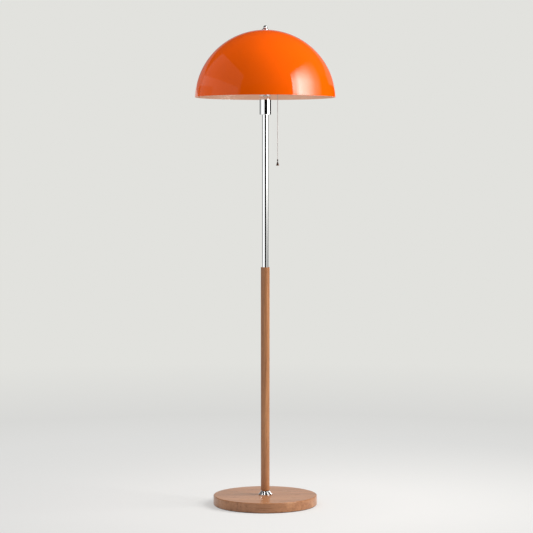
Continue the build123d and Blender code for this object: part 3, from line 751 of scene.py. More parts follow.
@dataclass
class Base:
    """The weighted wood base, its pad, its cord bush and the fluted collar on it."""

    edge: float = 2.6 * MM
    foot_edge: float = 1.2 * MM
    recess: float = 126 * MM
    roof: float = 10 * MM
    hole: float = 4.95 * MM
    sides: int = 160
    pad_edge: float = 0.6 * MM
    bush_bore: float = 3.3 * MM
    bush_wall: float = 1.2 * MM
    bush_edge: float = 0.5 * MM
    collar_neck: float = 13.5 * MM
    collar_foot: float = 1.6 * MM
    rib_count: int = 18
    rib_width: float = 2.6 * MM

    def build(self) -> None:
        """Builds every piece of the base."""
        self.disc()
        self.pad()
        self.bush()
        self.collar()

    def disc(self) -> None:
        """The turned disc, with its recess below and the cord's bore through its rim."""
        seat = Seat.of("base_disc")
        outline = rounded(
            [
                (self.hole, seat.top - self.roof),
                (self.recess, seat.top - self.roof),
                (self.recess, seat.foot),
                (seat.radius, seat.foot),
                (seat.radius, seat.top),
                (self.hole, seat.top),
            ],
            [0, 0, 0, self.foot_edge, self.edge, 0],
            6,
        )
        blank = bpy.data.objects.new("blank", lathe("blank", outline, self.sides, True))
        bpy.context.scene.collection.objects.link(blank)
        cutter = bpy.data.objects.new("cutter", self.bore_cutter())
        bpy.context.scene.collection.objects.link(cutter)
        cut = blank.modifiers.new("bore", "BOOLEAN")
        cut.operation = "DIFFERENCE"
        cut.object = cutter
        cut.solver = "EXACT"
        mesh = applied(blank, "turned_base")
        bpy.data.objects.remove(cutter)
        soften(mesh)
        piece("turned_base", mesh, Palette.BASE, "lamp", ["base_disc"])

    def bore_cutter(self) -> bpy.types.Mesh:
        """A rod that cuts the bush's hole through the rim.

        Returns:
            Its mesh.
        """
        seat = Seat.of("cord_bush")
        radius = self.bush_bore + self.bush_wall + 0.1 * MM
        start = seat.low.y - 5 * MM
        outline = [(0.0, start), (radius, start), (radius, seat.high.y + 5 * MM), (0.0, seat.high.y + 5 * MM)]
        return lathe("bore_cutter", outline, 32, False, self.along_cord())

    def along_cord(self) -> Matrix:
        """Lays a turned form along +Y at the cord's height.

        Returns:
            The matrix.
        """
        height = Seat.of("cord_bush").centre.z
        return Matrix.Translation((0.0, 0.0, height)) @ Matrix.Rotation(radians(-90), 4, "X")

    def pad(self) -> None:
        """The felt under the base."""
        seat = Seat.of("base_pad")
        outline = rounded(
            [(0.0, seat.foot), (seat.radius, seat.foot), (seat.radius, seat.top), (0.0, seat.top)],
            [0, self.pad_edge, self.pad_edge, 0],
            3,
        )
        mesh = lathe("felt_pad", outline, self.sides)
        piece("felt_pad", mesh, Palette.FELT, "lamp", ["base_pad"])

    def bush(self) -> None:
        """The bush that the cord leaves by, with its lip outside."""
        seat = Seat.of("cord_bush")
        tube = self.bush_bore + self.bush_wall
        lip = (seat.high.x - seat.low.x) / 2
        face = Seat.of("base_disc").high.y
        outline = rounded(
            [
                (self.bush_bore, seat.high.y),
                (self.bush_bore, seat.low.y),
                (tube, seat.low.y),
                (tube, face),
                (lip, face),
                (lip, seat.high.y),
            ],
            [0, 0, 0, 0, 0, self.bush_edge],
            4,
        )
        mesh = lathe("cord_outlet_bush", outline, 48, True, self.along_cord())
        piece("cord_outlet_bush", mesh, Palette.BLACK, "lamp", ["cord_bush"])

    def collar(self) -> None:
        """The flared chrome collar, with its ribs repeated round the flare."""
        seat = Seat.of("base_collar")
        shoulder = seat.foot + self.collar_foot
        core = rounded(
            [
                (self.hole, seat.foot),
                (seat.radius, seat.foot),
                (seat.radius, shoulder),
                (seat.radius - 1.1 * MM, shoulder + 0.5 * MM),
                (self.collar_neck - 1.1 * MM, seat.top),
                (self.hole, seat.top),
            ],
            [0, 0.3 * MM, 0.4 * MM, 0, 0.2 * MM, 0],
            4,
        )
        core_mesh = lathe("collar_core", core, 108, True)
        ribs = grown(
            "collar_ribs",
            self.rib_tree(),
            {
                "Count": self.rib_count,
                "Foot": Vector((seat.radius - 1.0 * MM, 0.0, shoulder)),
                "Neck": Vector((self.collar_neck - 0.9 * MM, 0.0, seat.top - 0.4 * MM)),
                "Foot Width": self.rib_width,
                "Neck Width": self.rib_width * self.collar_neck / seat.radius,
                "Finish": Palette.CHROME.material(),
            },
        )
        joined = bmesh.new()
        joined.from_mesh(core_mesh)
        joined.from_mesh(ribs)
        mesh = bpy.data.meshes.new("fluted_collar")
        joined.to_mesh(mesh)
        joined.free()
        soften(mesh)
        piece("fluted_collar", mesh, Palette.CHROME, "lamp", ["base_collar"])

    def rib_tree(self) -> bpy.types.NodeTree:
        """A tree that lays one tapering rib down the flare and repeats it round the axis.

        Returns:
            The tree.
        """
        tree = FormTree(
            "collar_ribs",
            {
                "Count": "NodeSocketInt",
                "Foot": "NodeSocketVector",
                "Neck": "NodeSocketVector",
                "Foot Width": "NodeSocketFloat",
                "Neck Width": "NodeSocketFloat",
                "Finish": "NodeSocketMaterial",
            },
        )
        given = tree.given
        line = tree.node("GeometryNodeCurvePrimitiveLine", {"Start": given["Foot"], "End": given["Neck"]})
        fine = tree.node("GeometryNodeResampleCurve", {"Curve": line.outputs[0], "Count": 8})
        share = tree.node("GeometryNodeSplineParameter").outputs["Factor"]
        taper = tree.math("SUBTRACT", given["Neck Width"], given["Foot Width"])
        width = tree.math("ADD", tree.math("MULTIPLY", taper, share), given["Foot Width"])
        half = tree.math("MULTIPLY", width, 0.5)
        sized = tree.node("GeometryNodeSetCurveRadius", {"Curve": fine.outputs[0], "Radius": half})
        ring = tree.node("GeometryNodeCurvePrimitiveCircle", {"Resolution": 10, "Radius": 1.0})
        rib = tree.node(
            "GeometryNodeCurveToMesh",
            {"Curve": sized.outputs[0], "Profile Curve": ring.outputs[0], "Fill Caps": True},
        )
        if "Scale" in rib.inputs:
            tree.feed(rib.inputs["Scale"], half)
        places = tree.node("GeometryNodeMeshLine", {"Count": given["Count"], "Offset": (0.0, 0.0, 0.0)})
        step = tree.math("DIVIDE", 2 * pi, given["Count"])
        angle = tree.math("MULTIPLY", tree.node("GeometryNodeInputIndex").outputs[0], step)
        turn = tree.node("ShaderNodeCombineXYZ", {"Z": angle})
        copies = tree.node(
            "GeometryNodeInstanceOnPoints",
            {"Points": places.outputs[0], "Instance": rib.outputs[0], "Rotation": turn.outputs[0]},
        )
        return tree.end(copies.outputs[0], given["Finish"])


# ---- Column -------------------------------------------------------------------------------------


@dataclass
class Column:
    """The wood pole, the chrome rod in it, and the chrome cup and ring of the neck."""

    pole_foot: float = 5 * MM
    pole_top: float = 0.8 * MM
    cup_foot: float = 1.8 * MM
    cup_rim: float = 0.35 * MM
    wall: float = 1.2 * MM
    cup_floor: float = 2 * MM
    hole: float = 4.95 * MM
    groove: float = 0.6 * MM
    spigot: float = 3 * MM

    def build(self) -> None:
        """Builds the pole, rod, cup and ring."""
        self.pole()
        self.rod()
        self.cup()
        self.ring()

    def pole(self) -> None:
        """The turned pole, round at its foot and bored for the rod."""
        seat, rod = Seat.of("wood_pole"), Seat.of("chrome_rod")
        outline = rounded(
            [
                (self.hole, seat.foot),
                (seat.radius, seat.foot),
                (seat.radius, seat.top),
                (rod.radius + 0.1 * MM, seat.top),
                (rod.radius + 0.1 * MM, rod.foot),
                (self.hole, rod.foot),
            ],
            [0, self.pole_foot, self.pole_top, 0, 0, 0],
            8,
        )
        mesh = lathe("turned_pole", outline, 72, True)
        piece("turned_pole", mesh, Palette.POLE, "lamp", ["wood_pole"])

    def rod(self) -> None:
        """The chrome tube."""
        seat = Seat.of("chrome_rod")
        inner = seat.radius - self.wall
        outline = [(inner, seat.foot), (seat.radius, seat.foot), (seat.radius, seat.top), (inner, seat.top)]
        mesh = lathe("upper_rod", outline, 96, True)
        piece("upper_rod", mesh, Palette.CHROME, "lamp", ["chrome_rod"])

    def cup(self) -> None:
        """The cup below the socket, with a drawn edge at its foot."""
        seat = Seat.of("neck_cup")
        inner = seat.radius - self.wall
        outline = rounded(
            [
                (self.hole, seat.foot),
                (seat.radius, seat.foot),
                (seat.radius, seat.top),
                (inner, seat.top),
                (inner, seat.foot + self.cup_floor),
                (self.hole, seat.foot + self.cup_floor),
            ],
            [0, self.cup_foot, self.cup_rim, 0, 0, 0],
            6,
        )
        mesh = lathe("socket_cup", outline, 128, True)
        piece("socket_cup", mesh, Palette.CHROME, "lamp", ["neck_cup"])

    def ring(self) -> None:
        """The ring that closes the cup, with a fine groove at its foot."""
        seat = Seat.of("neck_ring")
        rim = Seat.of("neck_cup").top
        inner = seat.radius - self.wall - 0.1 * MM
        outline = rounded(
            [
                (self.hole, rim - self.spigot),
                (inner, rim - self.spigot),
                (inner, rim),
                (seat.radius - self.groove, rim),
                (seat.radius - self.groove, rim + self.groove),
                (seat.radius, rim + self.groove),
                (seat.radius, seat.top),
                (self.hole, seat.top),
            ],
            [0, 0, 0, 0, 0, self.cup_rim, self.groove, 0],
            4,
        )
        mesh = lathe("cup_ring", outline, 128, True)
        piece("cup_ring", mesh, Palette.CHROME, "lamp", ["neck_ring"])


# ---- Harp ---------------------------------------------------------------------------------------


@dataclass
class Harp:
    """The harp's saddle, wire, eye and sleeves."""

    wire: float = 1.6 * MM
    belly: float = 81 * MM
    belly_side: float = 55.4 * MM
    shoulder: float = 150 * MM
    shoulder_side: float = 48.4 * MM
    flat: float = 21 * MM
    knee: float = 33 * MM
    bends: tuple[float, ...] = (24 * MM, 45 * MM, 60 * MM, 18 * MM)
    eye_hole: float = 3.16 * MM
    edge: float = 0.25 * MM

    def build(self) -> None:
        """Builds the wire with its eye, and eases the edges of the sheet pieces."""
        self.loop()
        for node, title, body in (
            ("harp_saddle", "bent_saddle", "lamp"),
            ("sleeve_back", "back_sleeve", "harp_sleeve_back"),
            ("sleeve_front", "front_sleeve", "harp_sleeve_front"),
        ):
            mesh = eased_copy(title, node, self.edge)
            piece(title, mesh, Palette.NICKEL, body, [node])

    def loop(self) -> None:
        """The bent wire and the flattened eye at its top, as one mesh."""
        seat, ring = Seat.of("harp"), Seat.of("neck_ring")
        leg = Seat.of("harp_saddle").high.y + 0.3 * MM + self.wire
        top = seat.top - self.wire
        corners = [
            (leg, seat.foot),
            (leg, ring.top + self.knee),
            (self.belly_side, ring.top + self.belly),
            (self.shoulder_side, ring.top + self.shoulder),
            (self.flat, top),
        ]
        radii = list(self.bends)
        line = [(-y, z) for y, z in corners] + corners[::-1]
        path = rounded(line, [0.0] + radii + radii[::-1] + [0.0], 10)
        curve = bpy.data.curves.new("harp_line", "CURVE")
        curve.dimensions = "3D"
        spline = curve.splines.new("POLY")
        spline.points.add(len(path) - 1)
        for point, (y, z) in zip(spline.points, path):
            point.co = (0.0, y, z, 1.0)
        curve.bevel_depth = self.wire
        curve.bevel_resolution = 5
        curve.use_fill_caps = True
        carrier = bpy.data.objects.new("harp_line", curve)
        bpy.context.scene.collection.objects.link(carrier)
        wire = applied(carrier, "harp_wire")
        eye = rounded(
            [
                (self.eye_hole, seat.top - 2 * self.wire),
                (seat.radius, seat.top - 2 * self.wire),
                (seat.radius, seat.top),
                (self.eye_hole, seat.top),
            ],
            [0, 0.9 * MM, 0.9 * MM, 0],
            4,
        )
        eye_mesh = lathe("harp_eye", eye, 48, True)
        joined = bmesh.new()
        joined.from_mesh(wire)
        joined.from_mesh(eye_mesh)
        mesh = bpy.data.meshes.new("harp_loop")
        joined.to_mesh(mesh)
        joined.free()
        soften(mesh)
        piece("harp_loop", mesh, Palette.NICKEL, "lamp", ["harp"])


# ---- Shade --------------------------------------------------------------------------------------


@dataclass
class Shade:
    """The spun dome and the finial that clamps it."""

    wall: float = 1.2 * MM
    flat: float = 13 * MM
    hole: float = 5.5 * MM
    rings: int = 48
    sides: int = 192
    skirt: float = 5.4 * MM
    skirt_edge: float = 1.5 * MM
    ball: float = 6.65 * MM
    stud_hole: float = 3.2 * MM
    stud_depth: float = 8.3 * MM

    def build(self) -> None:
        """Builds the dome and the finial."""
        self.dome()
        self.finial()

    def dome(self) -> None:
        """The dome: part of a sphere, with a rolled rim and a flat round its hole."""
        seat = Seat.of("shade_dome")
        height = seat.top - seat.foot
        drop = (height**2 + self.flat**2 - seat.radius**2) / (2 * height)
        centre = seat.foot + drop
        values = {
            "Rim Radius": seat.radius,
            "Rim Height": seat.foot,
            "Top Height": seat.top,
            "Flat Radius": self.flat,
            "Hole Radius": self.hole,
            "Wall": self.wall,
            "Sphere Height": centre,
            "Sphere Radius": sqrt(self.flat**2 + (seat.top - centre) ** 2),
            "Outside": Palette.ORANGE.material(),
            # The inside's peach colour is painted orange glow on pale enamel.
            "Inside": Palette.PALE_WITH_PAINTED_GLOW.material(),
        }
        mesh = grown("spun_dome", self.dome_tree(), values)
        piece("spun_dome", mesh, Palette.ORANGE, "shade", ["shade_dome"])

    def dome_tree(self) -> bpy.types.NodeTree:
        """A tree that turns the dome's section about its axis, strip by strip.

        Returns:
            The tree.
        """
        sizes = [
            "Rim Radius", "Rim Height", "Top Height", "Flat Radius", "Hole Radius", "Wall",
            "Sphere Height", "Sphere Radius",
        ]
        inputs = {name: "NodeSocketFloat" for name in sizes}
        inputs.update({"Outside": "NodeSocketMaterial", "Inside": "NodeSocketMaterial"})
        tree = FormTree("spun_dome", inputs)
        given = tree.given
        inner_radius = tree.math("SUBTRACT", given["Sphere Radius"], given["Wall"])
        inner_top = tree.math("SUBTRACT", given["Top Height"], given["Wall"])
        centre = given["Sphere Height"]

        def turn_at(height: object, radius: object) -> bpy.types.NodeSocket:
            """Angle at which a sphere reaches a height."""
            return tree.math("ARCSINE", tree.math("DIVIDE", tree.math("SUBTRACT", height, centre), radius))

        outer_rim = turn_at(given["Rim Height"], given["Sphere Radius"])
        outer_top = turn_at(given["Top Height"], given["Sphere Radius"])
        inner_rim = turn_at(given["Rim Height"], inner_radius)
        inner_end = turn_at(inner_top, inner_radius)
        inner_flat = tree.math("MULTIPLY", inner_radius, tree.math("COSINE", inner_end))
        rim_inside = tree.math("MULTIPLY", inner_radius, tree.math("COSINE", inner_rim))
        strips = [
            (
                rim_inside, given["Rim Radius"], given["Rim Height"], given["Rim Height"],
                0.0, 0.0, 0.0, 2, "Outside",
            ),
            (0.0, 0.0, centre, centre, given["Sphere Radius"], outer_rim, outer_top, self.rings, "Outside"),
            (
                given["Flat Radius"], given["Hole Radius"], given["Top Height"], given["Top Height"],
                0.0, 0.0, 0.0, 3, "Outside",
            ),
            (
                given["Hole Radius"], given["Hole Radius"], given["Top Height"], inner_top,
                0.0, 0.0, 0.0, 1, "Outside",
            ),
            (given["Hole Radius"], inner_flat, inner_top, inner_top, 0.0, 0.0, 0.0, 3, "Inside"),
            (0.0, 0.0, centre, centre, inner_radius, inner_end, inner_rim, self.rings, "Inside"),
        ]
        join = tree.node("GeometryNodeJoinGeometry")
        for start, end, low, high, radius, first, last, rings, side in strips:
            form = self.strip(tree, (start, end), (low, high), radius, (first, last), rings)
            dressed = tree.node("GeometryNodeSetMaterial", {"Geometry": form, "Material": given[side]})
            tree.feed(join.inputs[0], dressed.outputs[0])
        return tree.end(join.outputs[0], None, True)

    def strip(
        self, tree: FormTree, across: tuple, heights: tuple, radius: object, turns: tuple, rings: int
    ) -> bpy.types.NodeSocket:
        """One strip of a turned section: a line, an arc, or both added up.

        Args:
            tree: the tree.
            across: the line's radius at its start and end.
            heights: the line's height at its start and end.
            radius: the arc's radius, 0 for none.
            turns: the arc's angles at its start and end.
            rings: faces along the strip.

        Returns:
            The strip's geometry.
        """
        grid = tree.node(
            "GeometryNodeMeshGrid",
            {"Size X": 1.0, "Size Y": 1.0, "Vertices X": self.sides + 1, "Vertices Y": rings + 1},
        )
        flat = tree.node("ShaderNodeSeparateXYZ", {0: tree.node("GeometryNodeInputPosition").outputs[0]})
        round_turn = tree.math("MULTIPLY", flat.outputs["X"], 2 * pi)
        share = tree.math("ADD", flat.outputs["Y"], 0.5)

        def between(pair: tuple) -> bpy.types.NodeSocket:
            """A value that runs from the pair's first to its second along the strip."""
            reach = tree.math("SUBTRACT", pair[1], pair[0])
            return tree.math("ADD", pair[0], tree.math("MULTIPLY", reach, share))

        angle = between(turns)
        reach = tree.math("ADD", between(across), tree.math("MULTIPLY", radius, tree.math("COSINE", angle)))
        height = tree.math("ADD", between(heights), tree.math("MULTIPLY", radius, tree.math("SINE", angle)))
        spot = tree.node(
            "ShaderNodeCombineXYZ",
            {
                "X": tree.math("MULTIPLY", reach, tree.math("COSINE", round_turn)),
                "Y": tree.math("MULTIPLY", reach, tree.math("SINE", round_turn)),
                "Z": height,
            },
        )
        moved = tree.node(
            "GeometryNodeSetPosition", {"Geometry": grid.outputs[0], "Position": spot.outputs[0]}
        )
        return moved.outputs[0]

    def finial(self) -> None:
        """The chrome finial: a low skirt that flows into a ball."""
        seat = Seat.of("finial")
        foot = seat.foot
        ball_centre = seat.top - self.ball
        neck = foot + self.skirt
        leave = asin((neck - ball_centre) / self.ball)
        outline = rounded(
            [
                (self.stud_hole, foot + self.stud_depth),
                (self.stud_hole, foot),
                (seat.radius, foot),
                (seat.radius, foot + 2.0 * MM),
                (self.ball * cos(leave) + 0.4 * MM, neck - 0.7 * MM),
            ],
            [0, 0.2 * MM, 0.5 * MM, self.skirt_edge, 0],
            5,
        )
        ball = arc((0.0, ball_centre), self.ball, leave * 180 / pi, 90.0, 18)
        outline = [(0.0, foot + self.stud_depth)] + outline + ball
        mesh = lathe("ball_finial", outline, 64)
        piece("ball_finial", mesh, Palette.CHROME, "finial_knob", ["finial"])


# ---- Socket, chain and bulb ---------------------------------------------------------------------


@dataclass
class Socket:
    """The pull-chain socket: cap, shell and chain nozzle."""

    cap_bevel: float = 1.6 * MM
    cap_wall: float = 0.9 * MM
    cap_floor: float = 2.0 * MM
    hub: float = 7.5 * MM
    hub_height: float = 8 * MM
    hole: float = 4.95 * MM
    shell_wall: float = 0.6 * MM
    shell_lip: float = 1.2 * MM
    bead: float = 0.35 * MM
    nozzle_bore: float = 1.5 * MM
    nozzle_wall: float = 0.9 * MM
    flare: float = 5 * MM
    mouth: float = 4.7 * MM
    nozzle_ring: float = 4.6 * MM

    def build(self) -> None:
        """Builds the cap, the shell and the nozzle."""
        self.cap()
        self.shell()
        self.nozzle()

    def cap(self) -> None:
        """The drawn cap on the saddle."""
        seat = Seat.of("socket_cap")
        inner = seat.radius - self.cap_wall
        floor = seat.foot + self.cap_floor
        outline = rounded(
            [
                (self.hole, seat.foot),
                (seat.radius, seat.foot),
                (seat.radius, seat.top),
                (inner, seat.top),
                (inner, floor),
                (self.hub, floor),
                (self.hub, seat.foot + self.hub_height),
                (self.hole, seat.foot + self.hub_height),
            ],
            [0, self.cap_bevel * 1.5, 0.3 * MM, 0.3 * MM, 0.8 * MM, 0.5 * MM, 0.3 * MM, 0],
            5,
        )
        mesh = lathe("drawn_cap", outline, 96, True)
        piece("drawn_cap", mesh, Palette.CHROME, "lamp", ["socket_cap"])

    def shell(self) -> None:
        """The shell round the switch and the bulb's cap, with two raised beads, slotted for the nozzle."""
        seat = Seat.of("socket_shell")
        radius = seat.radius
        inner = radius - self.shell_wall
        lip = inner - self.shell_lip
        heights = (seat.top - 8 * MM, seat.top - 12 * MM)
        beads: list[Ring] = []
        for middle in sorted(heights):
            beads += [(radius, middle - 1 * MM), (radius + self.bead, middle), (radius, middle + 1 * MM)]
        corners = [(inner, seat.foot), (radius, seat.foot), *beads, (radius, seat.top), (lip, seat.top)]
        corners += [(lip, seat.top - self.shell_wall), (inner, seat.top - self.shell_wall)]
        radii = [0, 0] + [0.5 * MM, 0.3 * MM, 0.5 * MM] * 2 + [0.5 * MM, 0.2 * MM, 0, 0]
        blank_mesh = lathe("shell_blank", rounded(corners, radii, 4), 96, True)
        blank = bpy.data.objects.new("shell_blank", blank_mesh)
        bpy.context.scene.collection.objects.link(blank)
        nozzle = Seat.of("chain_nozzle")
        half = self.nozzle_bore + self.nozzle_wall + 0.1 * MM
        slot_top = nozzle.centre.z + half
        cutter_mesh = bpy.data.meshes.new("slot_cutter")
        form = bmesh.new()
        bmesh.ops.create_cube(form, size=1.0)
        low = Vector((radius - 4 * MM, -half, seat.foot - 2 * MM))
        high = Vector((radius + 4 * MM, half, slot_top))
        for vert in form.verts:
            vert.co = Vector(low[i] + (high[i] - low[i]) * (vert.co[i] + 0.5) for i in range(3))
        form.to_mesh(cutter_mesh)
        form.free()
        cutter = bpy.data.objects.new("slot_cutter", cutter_mesh)
        bpy.context.scene.collection.objects.link(cutter)
        cut = blank.modifiers.new("slot", "BOOLEAN")
        cut.operation = "DIFFERENCE"
        cut.object = cutter
        cut.solver = "EXACT"
        mesh = applied(blank, "slotted_shell")
        bpy.data.objects.remove(cutter)
        soften(mesh)
        piece("slotted_shell", mesh, Palette.CHROME, "lamp", ["socket_shell"])

    def nozzle(self) -> None:
        """The trumpet that the chain leaves by, with the ring that holds it on the shell."""
        seat, shell = Seat.of("chain_nozzle"), Seat.of("socket_shell")
        start, end = seat.low.x, seat.high.x
        tube = self.nozzle_bore + self.nozzle_wall
        ring = shell.high.x + 0.3 * MM
        outline = rounded(
            [
                (self.nozzle_bore, start),
                (tube, start),
                (tube, ring),
                (self.nozzle_ring, ring),
                (self.nozzle_ring, ring + 1.2 * MM),
                (tube, ring + 1.2 * MM),
                (tube, end - self.flare),
                (self.mouth, end - 0.6 * MM),
                (self.mouth, end),
                (self.mouth - self.nozzle_wall, end),
                (self.nozzle_bore, end - 1.6 * MM),
            ],
            [0, 0, 0, 0.3 * MM, 0.3 * MM, 0.4 * MM, 4.0 * MM, 0.3 * MM, 0.3 * MM, 0.2 * MM, 1.0 * MM],
            6,
        )
        along = Matrix.Translation((0.0, 0.0, seat.centre.z)) @ Matrix.Rotation(radians(90), 4, "Y")
        mesh = lathe("chain_trumpet", outline, 48, True, along)
        piece("chain_trumpet", mesh, Palette.CHROME, "lamp", ["chain_nozzle"])


@dataclass
class PullChain:
    """The bead chain, in the pieces that move on their own, with its connector and bell."""

    bead: float = 1.2 * MM
    link: float = 0.45 * MM
    pitch: float = 3.5 * MM
    stub: float = 1.5 * MM

    def build(self) -> None:
        """Builds each run of beads, the connector and the bell."""
        tree = self.bead_tree()
        line, height = Seat.of("chain_bead_top").centre.x, Seat.of("chain_bead_top").centre.z
        hung = Seat.of("pull_chain")
        count = round((hung.top - hung.foot) / self.pitch)
        sideways, down = (self.pitch, 0.0, 0.0), (0.0, 0.0, -self.pitch)
        lead_count = 11
        lead_start = line - (lead_count + 1) * self.pitch
        self.run(tree, "lead_beads", (lead_start, 0.0, height), sideways, lead_count, "lead", "chain_lead")
        corner_place = (line - self.pitch, 0.0, height)
        self.run(tree, "corner_bead", corner_place, sideways, 1, "corner_bead", "chain_bead_corner")
        self.run(tree, "top_bead", (line, 0.0, height), down, 1, "top_bead", "chain_bead_top")
        second_place = (line, 0.0, height - self.pitch)
        self.run(tree, "second_bead", second_place, down, 1, "second_bead", "chain_bead_second")
        hung_place = (line, 0.0, height - 2 * self.pitch)
        self.run(tree, "hanging_beads", hung_place, down, count, "chain", "pull_chain")
        self.connector()
        self.bell()

    def run(
        self,
        tree: bpy.types.NodeTree,
        name: str,
        start: tuple,
        step: tuple,
        count: int,
        body: str,
        node: str,
    ) -> None:
        """Builds one run of beads.

        Args:
            tree: the beads' tree.
            name: the piece's name.
            start: centre of the first bead.
            step: from one bead to the next.
            count: how many beads.
            body: the CAD body that they ride on.
            node: the CAD node that they stand for.
        """
        values = {
            "Count": count,
            "Start": Vector(start),
            "Step": Vector(step),
            "Bead Radius": self.bead,
            "Link Radius": self.link,
            "Link Length": self.pitch if count > 1 else 2 * self.stub,
            "Finish": Palette.BEADS.material(),
        }
        mesh = grown(name, tree, values)
        piece(name, mesh, Palette.BEADS, body, [node])

    def bead_tree(self) -> bpy.types.NodeTree:
        """A tree that repeats a hollow bead and its link along a line.

        Returns:
            The tree.
        """
        tree = FormTree(
            "bead_run",
            {
                "Count": "NodeSocketInt",
                "Start": "NodeSocketVector",
                "Step": "NodeSocketVector",
                "Bead Radius": "NodeSocketFloat",
                "Link Radius": "NodeSocketFloat",
                "Link Length": "NodeSocketFloat",
                "Finish": "NodeSocketMaterial",
            },
        )
        given = tree.given
        bead = tree.node(
            "GeometryNodeMeshUVSphere", {"Segments": 12, "Rings": 8, "Radius": given["Bead Radius"]}
        )
        link = tree.node(
            "GeometryNodeMeshCylinder",
            {"Vertices": 6, "Radius": given["Link Radius"], "Depth": given["Link Length"]},
        )
        one = tree.node("GeometryNodeJoinGeometry")
        tree.feed(one.inputs[0], bead.outputs[0])
        tree.feed(one.inputs[0], link.outputs[0])
        places = tree.node(
            "GeometryNodeMeshLine",
            {"Count": given["Count"], "Start Location": given["Start"], "Offset": given["Step"]},
        )
        along = tree.node("FunctionNodeAlignRotationToVector", {"Vector": given["Step"]}, axis="Z")
        copies = tree.node(
            "GeometryNodeInstanceOnPoints",
            {"Points": places.outputs[0], "Instance": one.outputs[0], "Rotation": along.outputs[0]},
        )
        return tree.end(copies.outputs[0], given["Finish"])

    def connector(self) -> None:
        """The barrel that joins the bell to the chain."""
        seat = Seat.of("chain_connector")
        radius = seat.radius
        outline = rounded(
            [
                (0.0, seat.foot),
                (self.link, seat.foot),
                (radius, seat.foot + 1.7 * MM),
                (radius, seat.top - 2.8 * MM),
                (self.link, seat.top),
                (0.0, seat.top),
            ],
            [0, 0, 1.2 * MM, 1.8 * MM, 0, 0],
            6,
        )
        along = Matrix.Translation((seat.centre.x, 0.0, 0.0))
        mesh = lathe("chain_barrel", outline, 32, False, along)
        piece("chain_barrel", mesh, Palette.BRONZE, "chain", ["chain_connector"])

    def bell(self) -> None:
        """The bell-shaped pull, hollow below, with a rolled lip."""
        seat = Seat.of("pull_bell")
        mouth, wall, lip = seat.radius, 0.8 * MM, 0.5 * MM
        outline = rounded(
            [
                (mouth - wall, seat.foot),
                (mouth, seat.foot),
                (mouth, seat.foot + 2 * lip),
                (3.1 * MM, seat.foot + 6.5 * MM),
                (1.9 * MM, seat.top - 2.2 * MM),
                (1.1 * MM, seat.top),
                (0.0, seat.top),
            ],
            [0, lip * 0.8, lip, 3.0 * MM, 1.0 * MM, 0.3 * MM, 0],
            6,
        )
        hollow = rounded(
            [
                (0.0, seat.top - 3.4 * MM),
                (0.8 * MM, seat.top - 3.6 * MM),
                (2.3 * MM, seat.foot + 6.5 * MM),
                (mouth - wall, seat.foot),
            ],
            [0, 0.4 * MM, 3.0 * MM, 0],
            6,
        )
        along = Matrix.Translation((seat.centre.x, 0.0, 0.0))
        mesh = lathe("pull_weight", hollow[:-1] + outline, 48, False, along)
        piece("pull_weight", mesh, Palette.BRONZE, "bell", ["pull_bell"])


@dataclass
class Bulb:
    """The opal globe of the bulb."""

    neck: float = 14.5 * MM
    neck_height: float = 6 * MM
    cap_radius: float = 13.2 * MM

    def build(self) -> None:
        """Builds the globe, drawn in to its neck by one smooth curve."""
        seat = Seat.of("bulb_globe")
        radius = 30 * MM
        centre = seat.top - radius
        shoulder = radians(-42.0)
        throat = (radius * cos(shoulder), centre + radius * sin(shoulder))
        outline = rounded(
            [
                (0.0, seat.foot),
                (self.cap_radius, seat.foot),
                (self.neck, seat.foot + self.neck_height),
                (self.neck + 2 * MM, (throat[1] + seat.foot + self.neck_height) / 2),
            ],
            [0, 0.3 * MM, 4 * MM, 0],
            5,
        )
        outline += arc((0.0, centre), radius, shoulder * 180 / pi, 90.0, 28)
        mesh = lathe("opal_globe", outline, 72)
        piece("opal_globe", mesh, Palette.OPAL, "bulb", ["bulb_globe"])


# ---- Pieces that stay as the frame has them -----------------------------------------------------


KEPT = {
    "ballast_plate": Palette.IRON,
    "ballast_screws": Palette.ZINC,
    "base_washer": Palette.ZINC,
    "base_nut": Palette.ZINC,
    "tie_tube": Palette.ZINC,
    "rod_plugs": Palette.ZINC,
    "neck_nipple": Palette.ZINC,
    "lever_pin": Palette.ZINC,
    "lever_spring": Palette.ZINC,
    "shade_washer": Palette.BLACK,
    "harp_stud": Palette.CHROME,
    "socket_liner": Palette.FIBRE,
    "socket_body": Palette.PHENOLIC,
    "switch_lever": Palette.PHENOLIC,
    "ratchet_wheel": Palette.PHENOLIC,
    "terminal_screws": Palette.BRASS,
    "screw_shell": Palette.BRASS,
    "centre_contact": Palette.BRASS,
    "contact_blade": Palette.BRASS,
    "bulb_cap": Palette.BRASS,
}


def dress_kept_nodes() -> None:
    """Gives the CAD nodes that stay their finishes."""
    for node, finish in KEPT.items():
        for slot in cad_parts[node].material_slots:
            slot.material = finish.material()
        LOG.info("%s: kept, in %s", node, finish.value.title)


# ---- Studio -------------------------------------------------------------------------------------


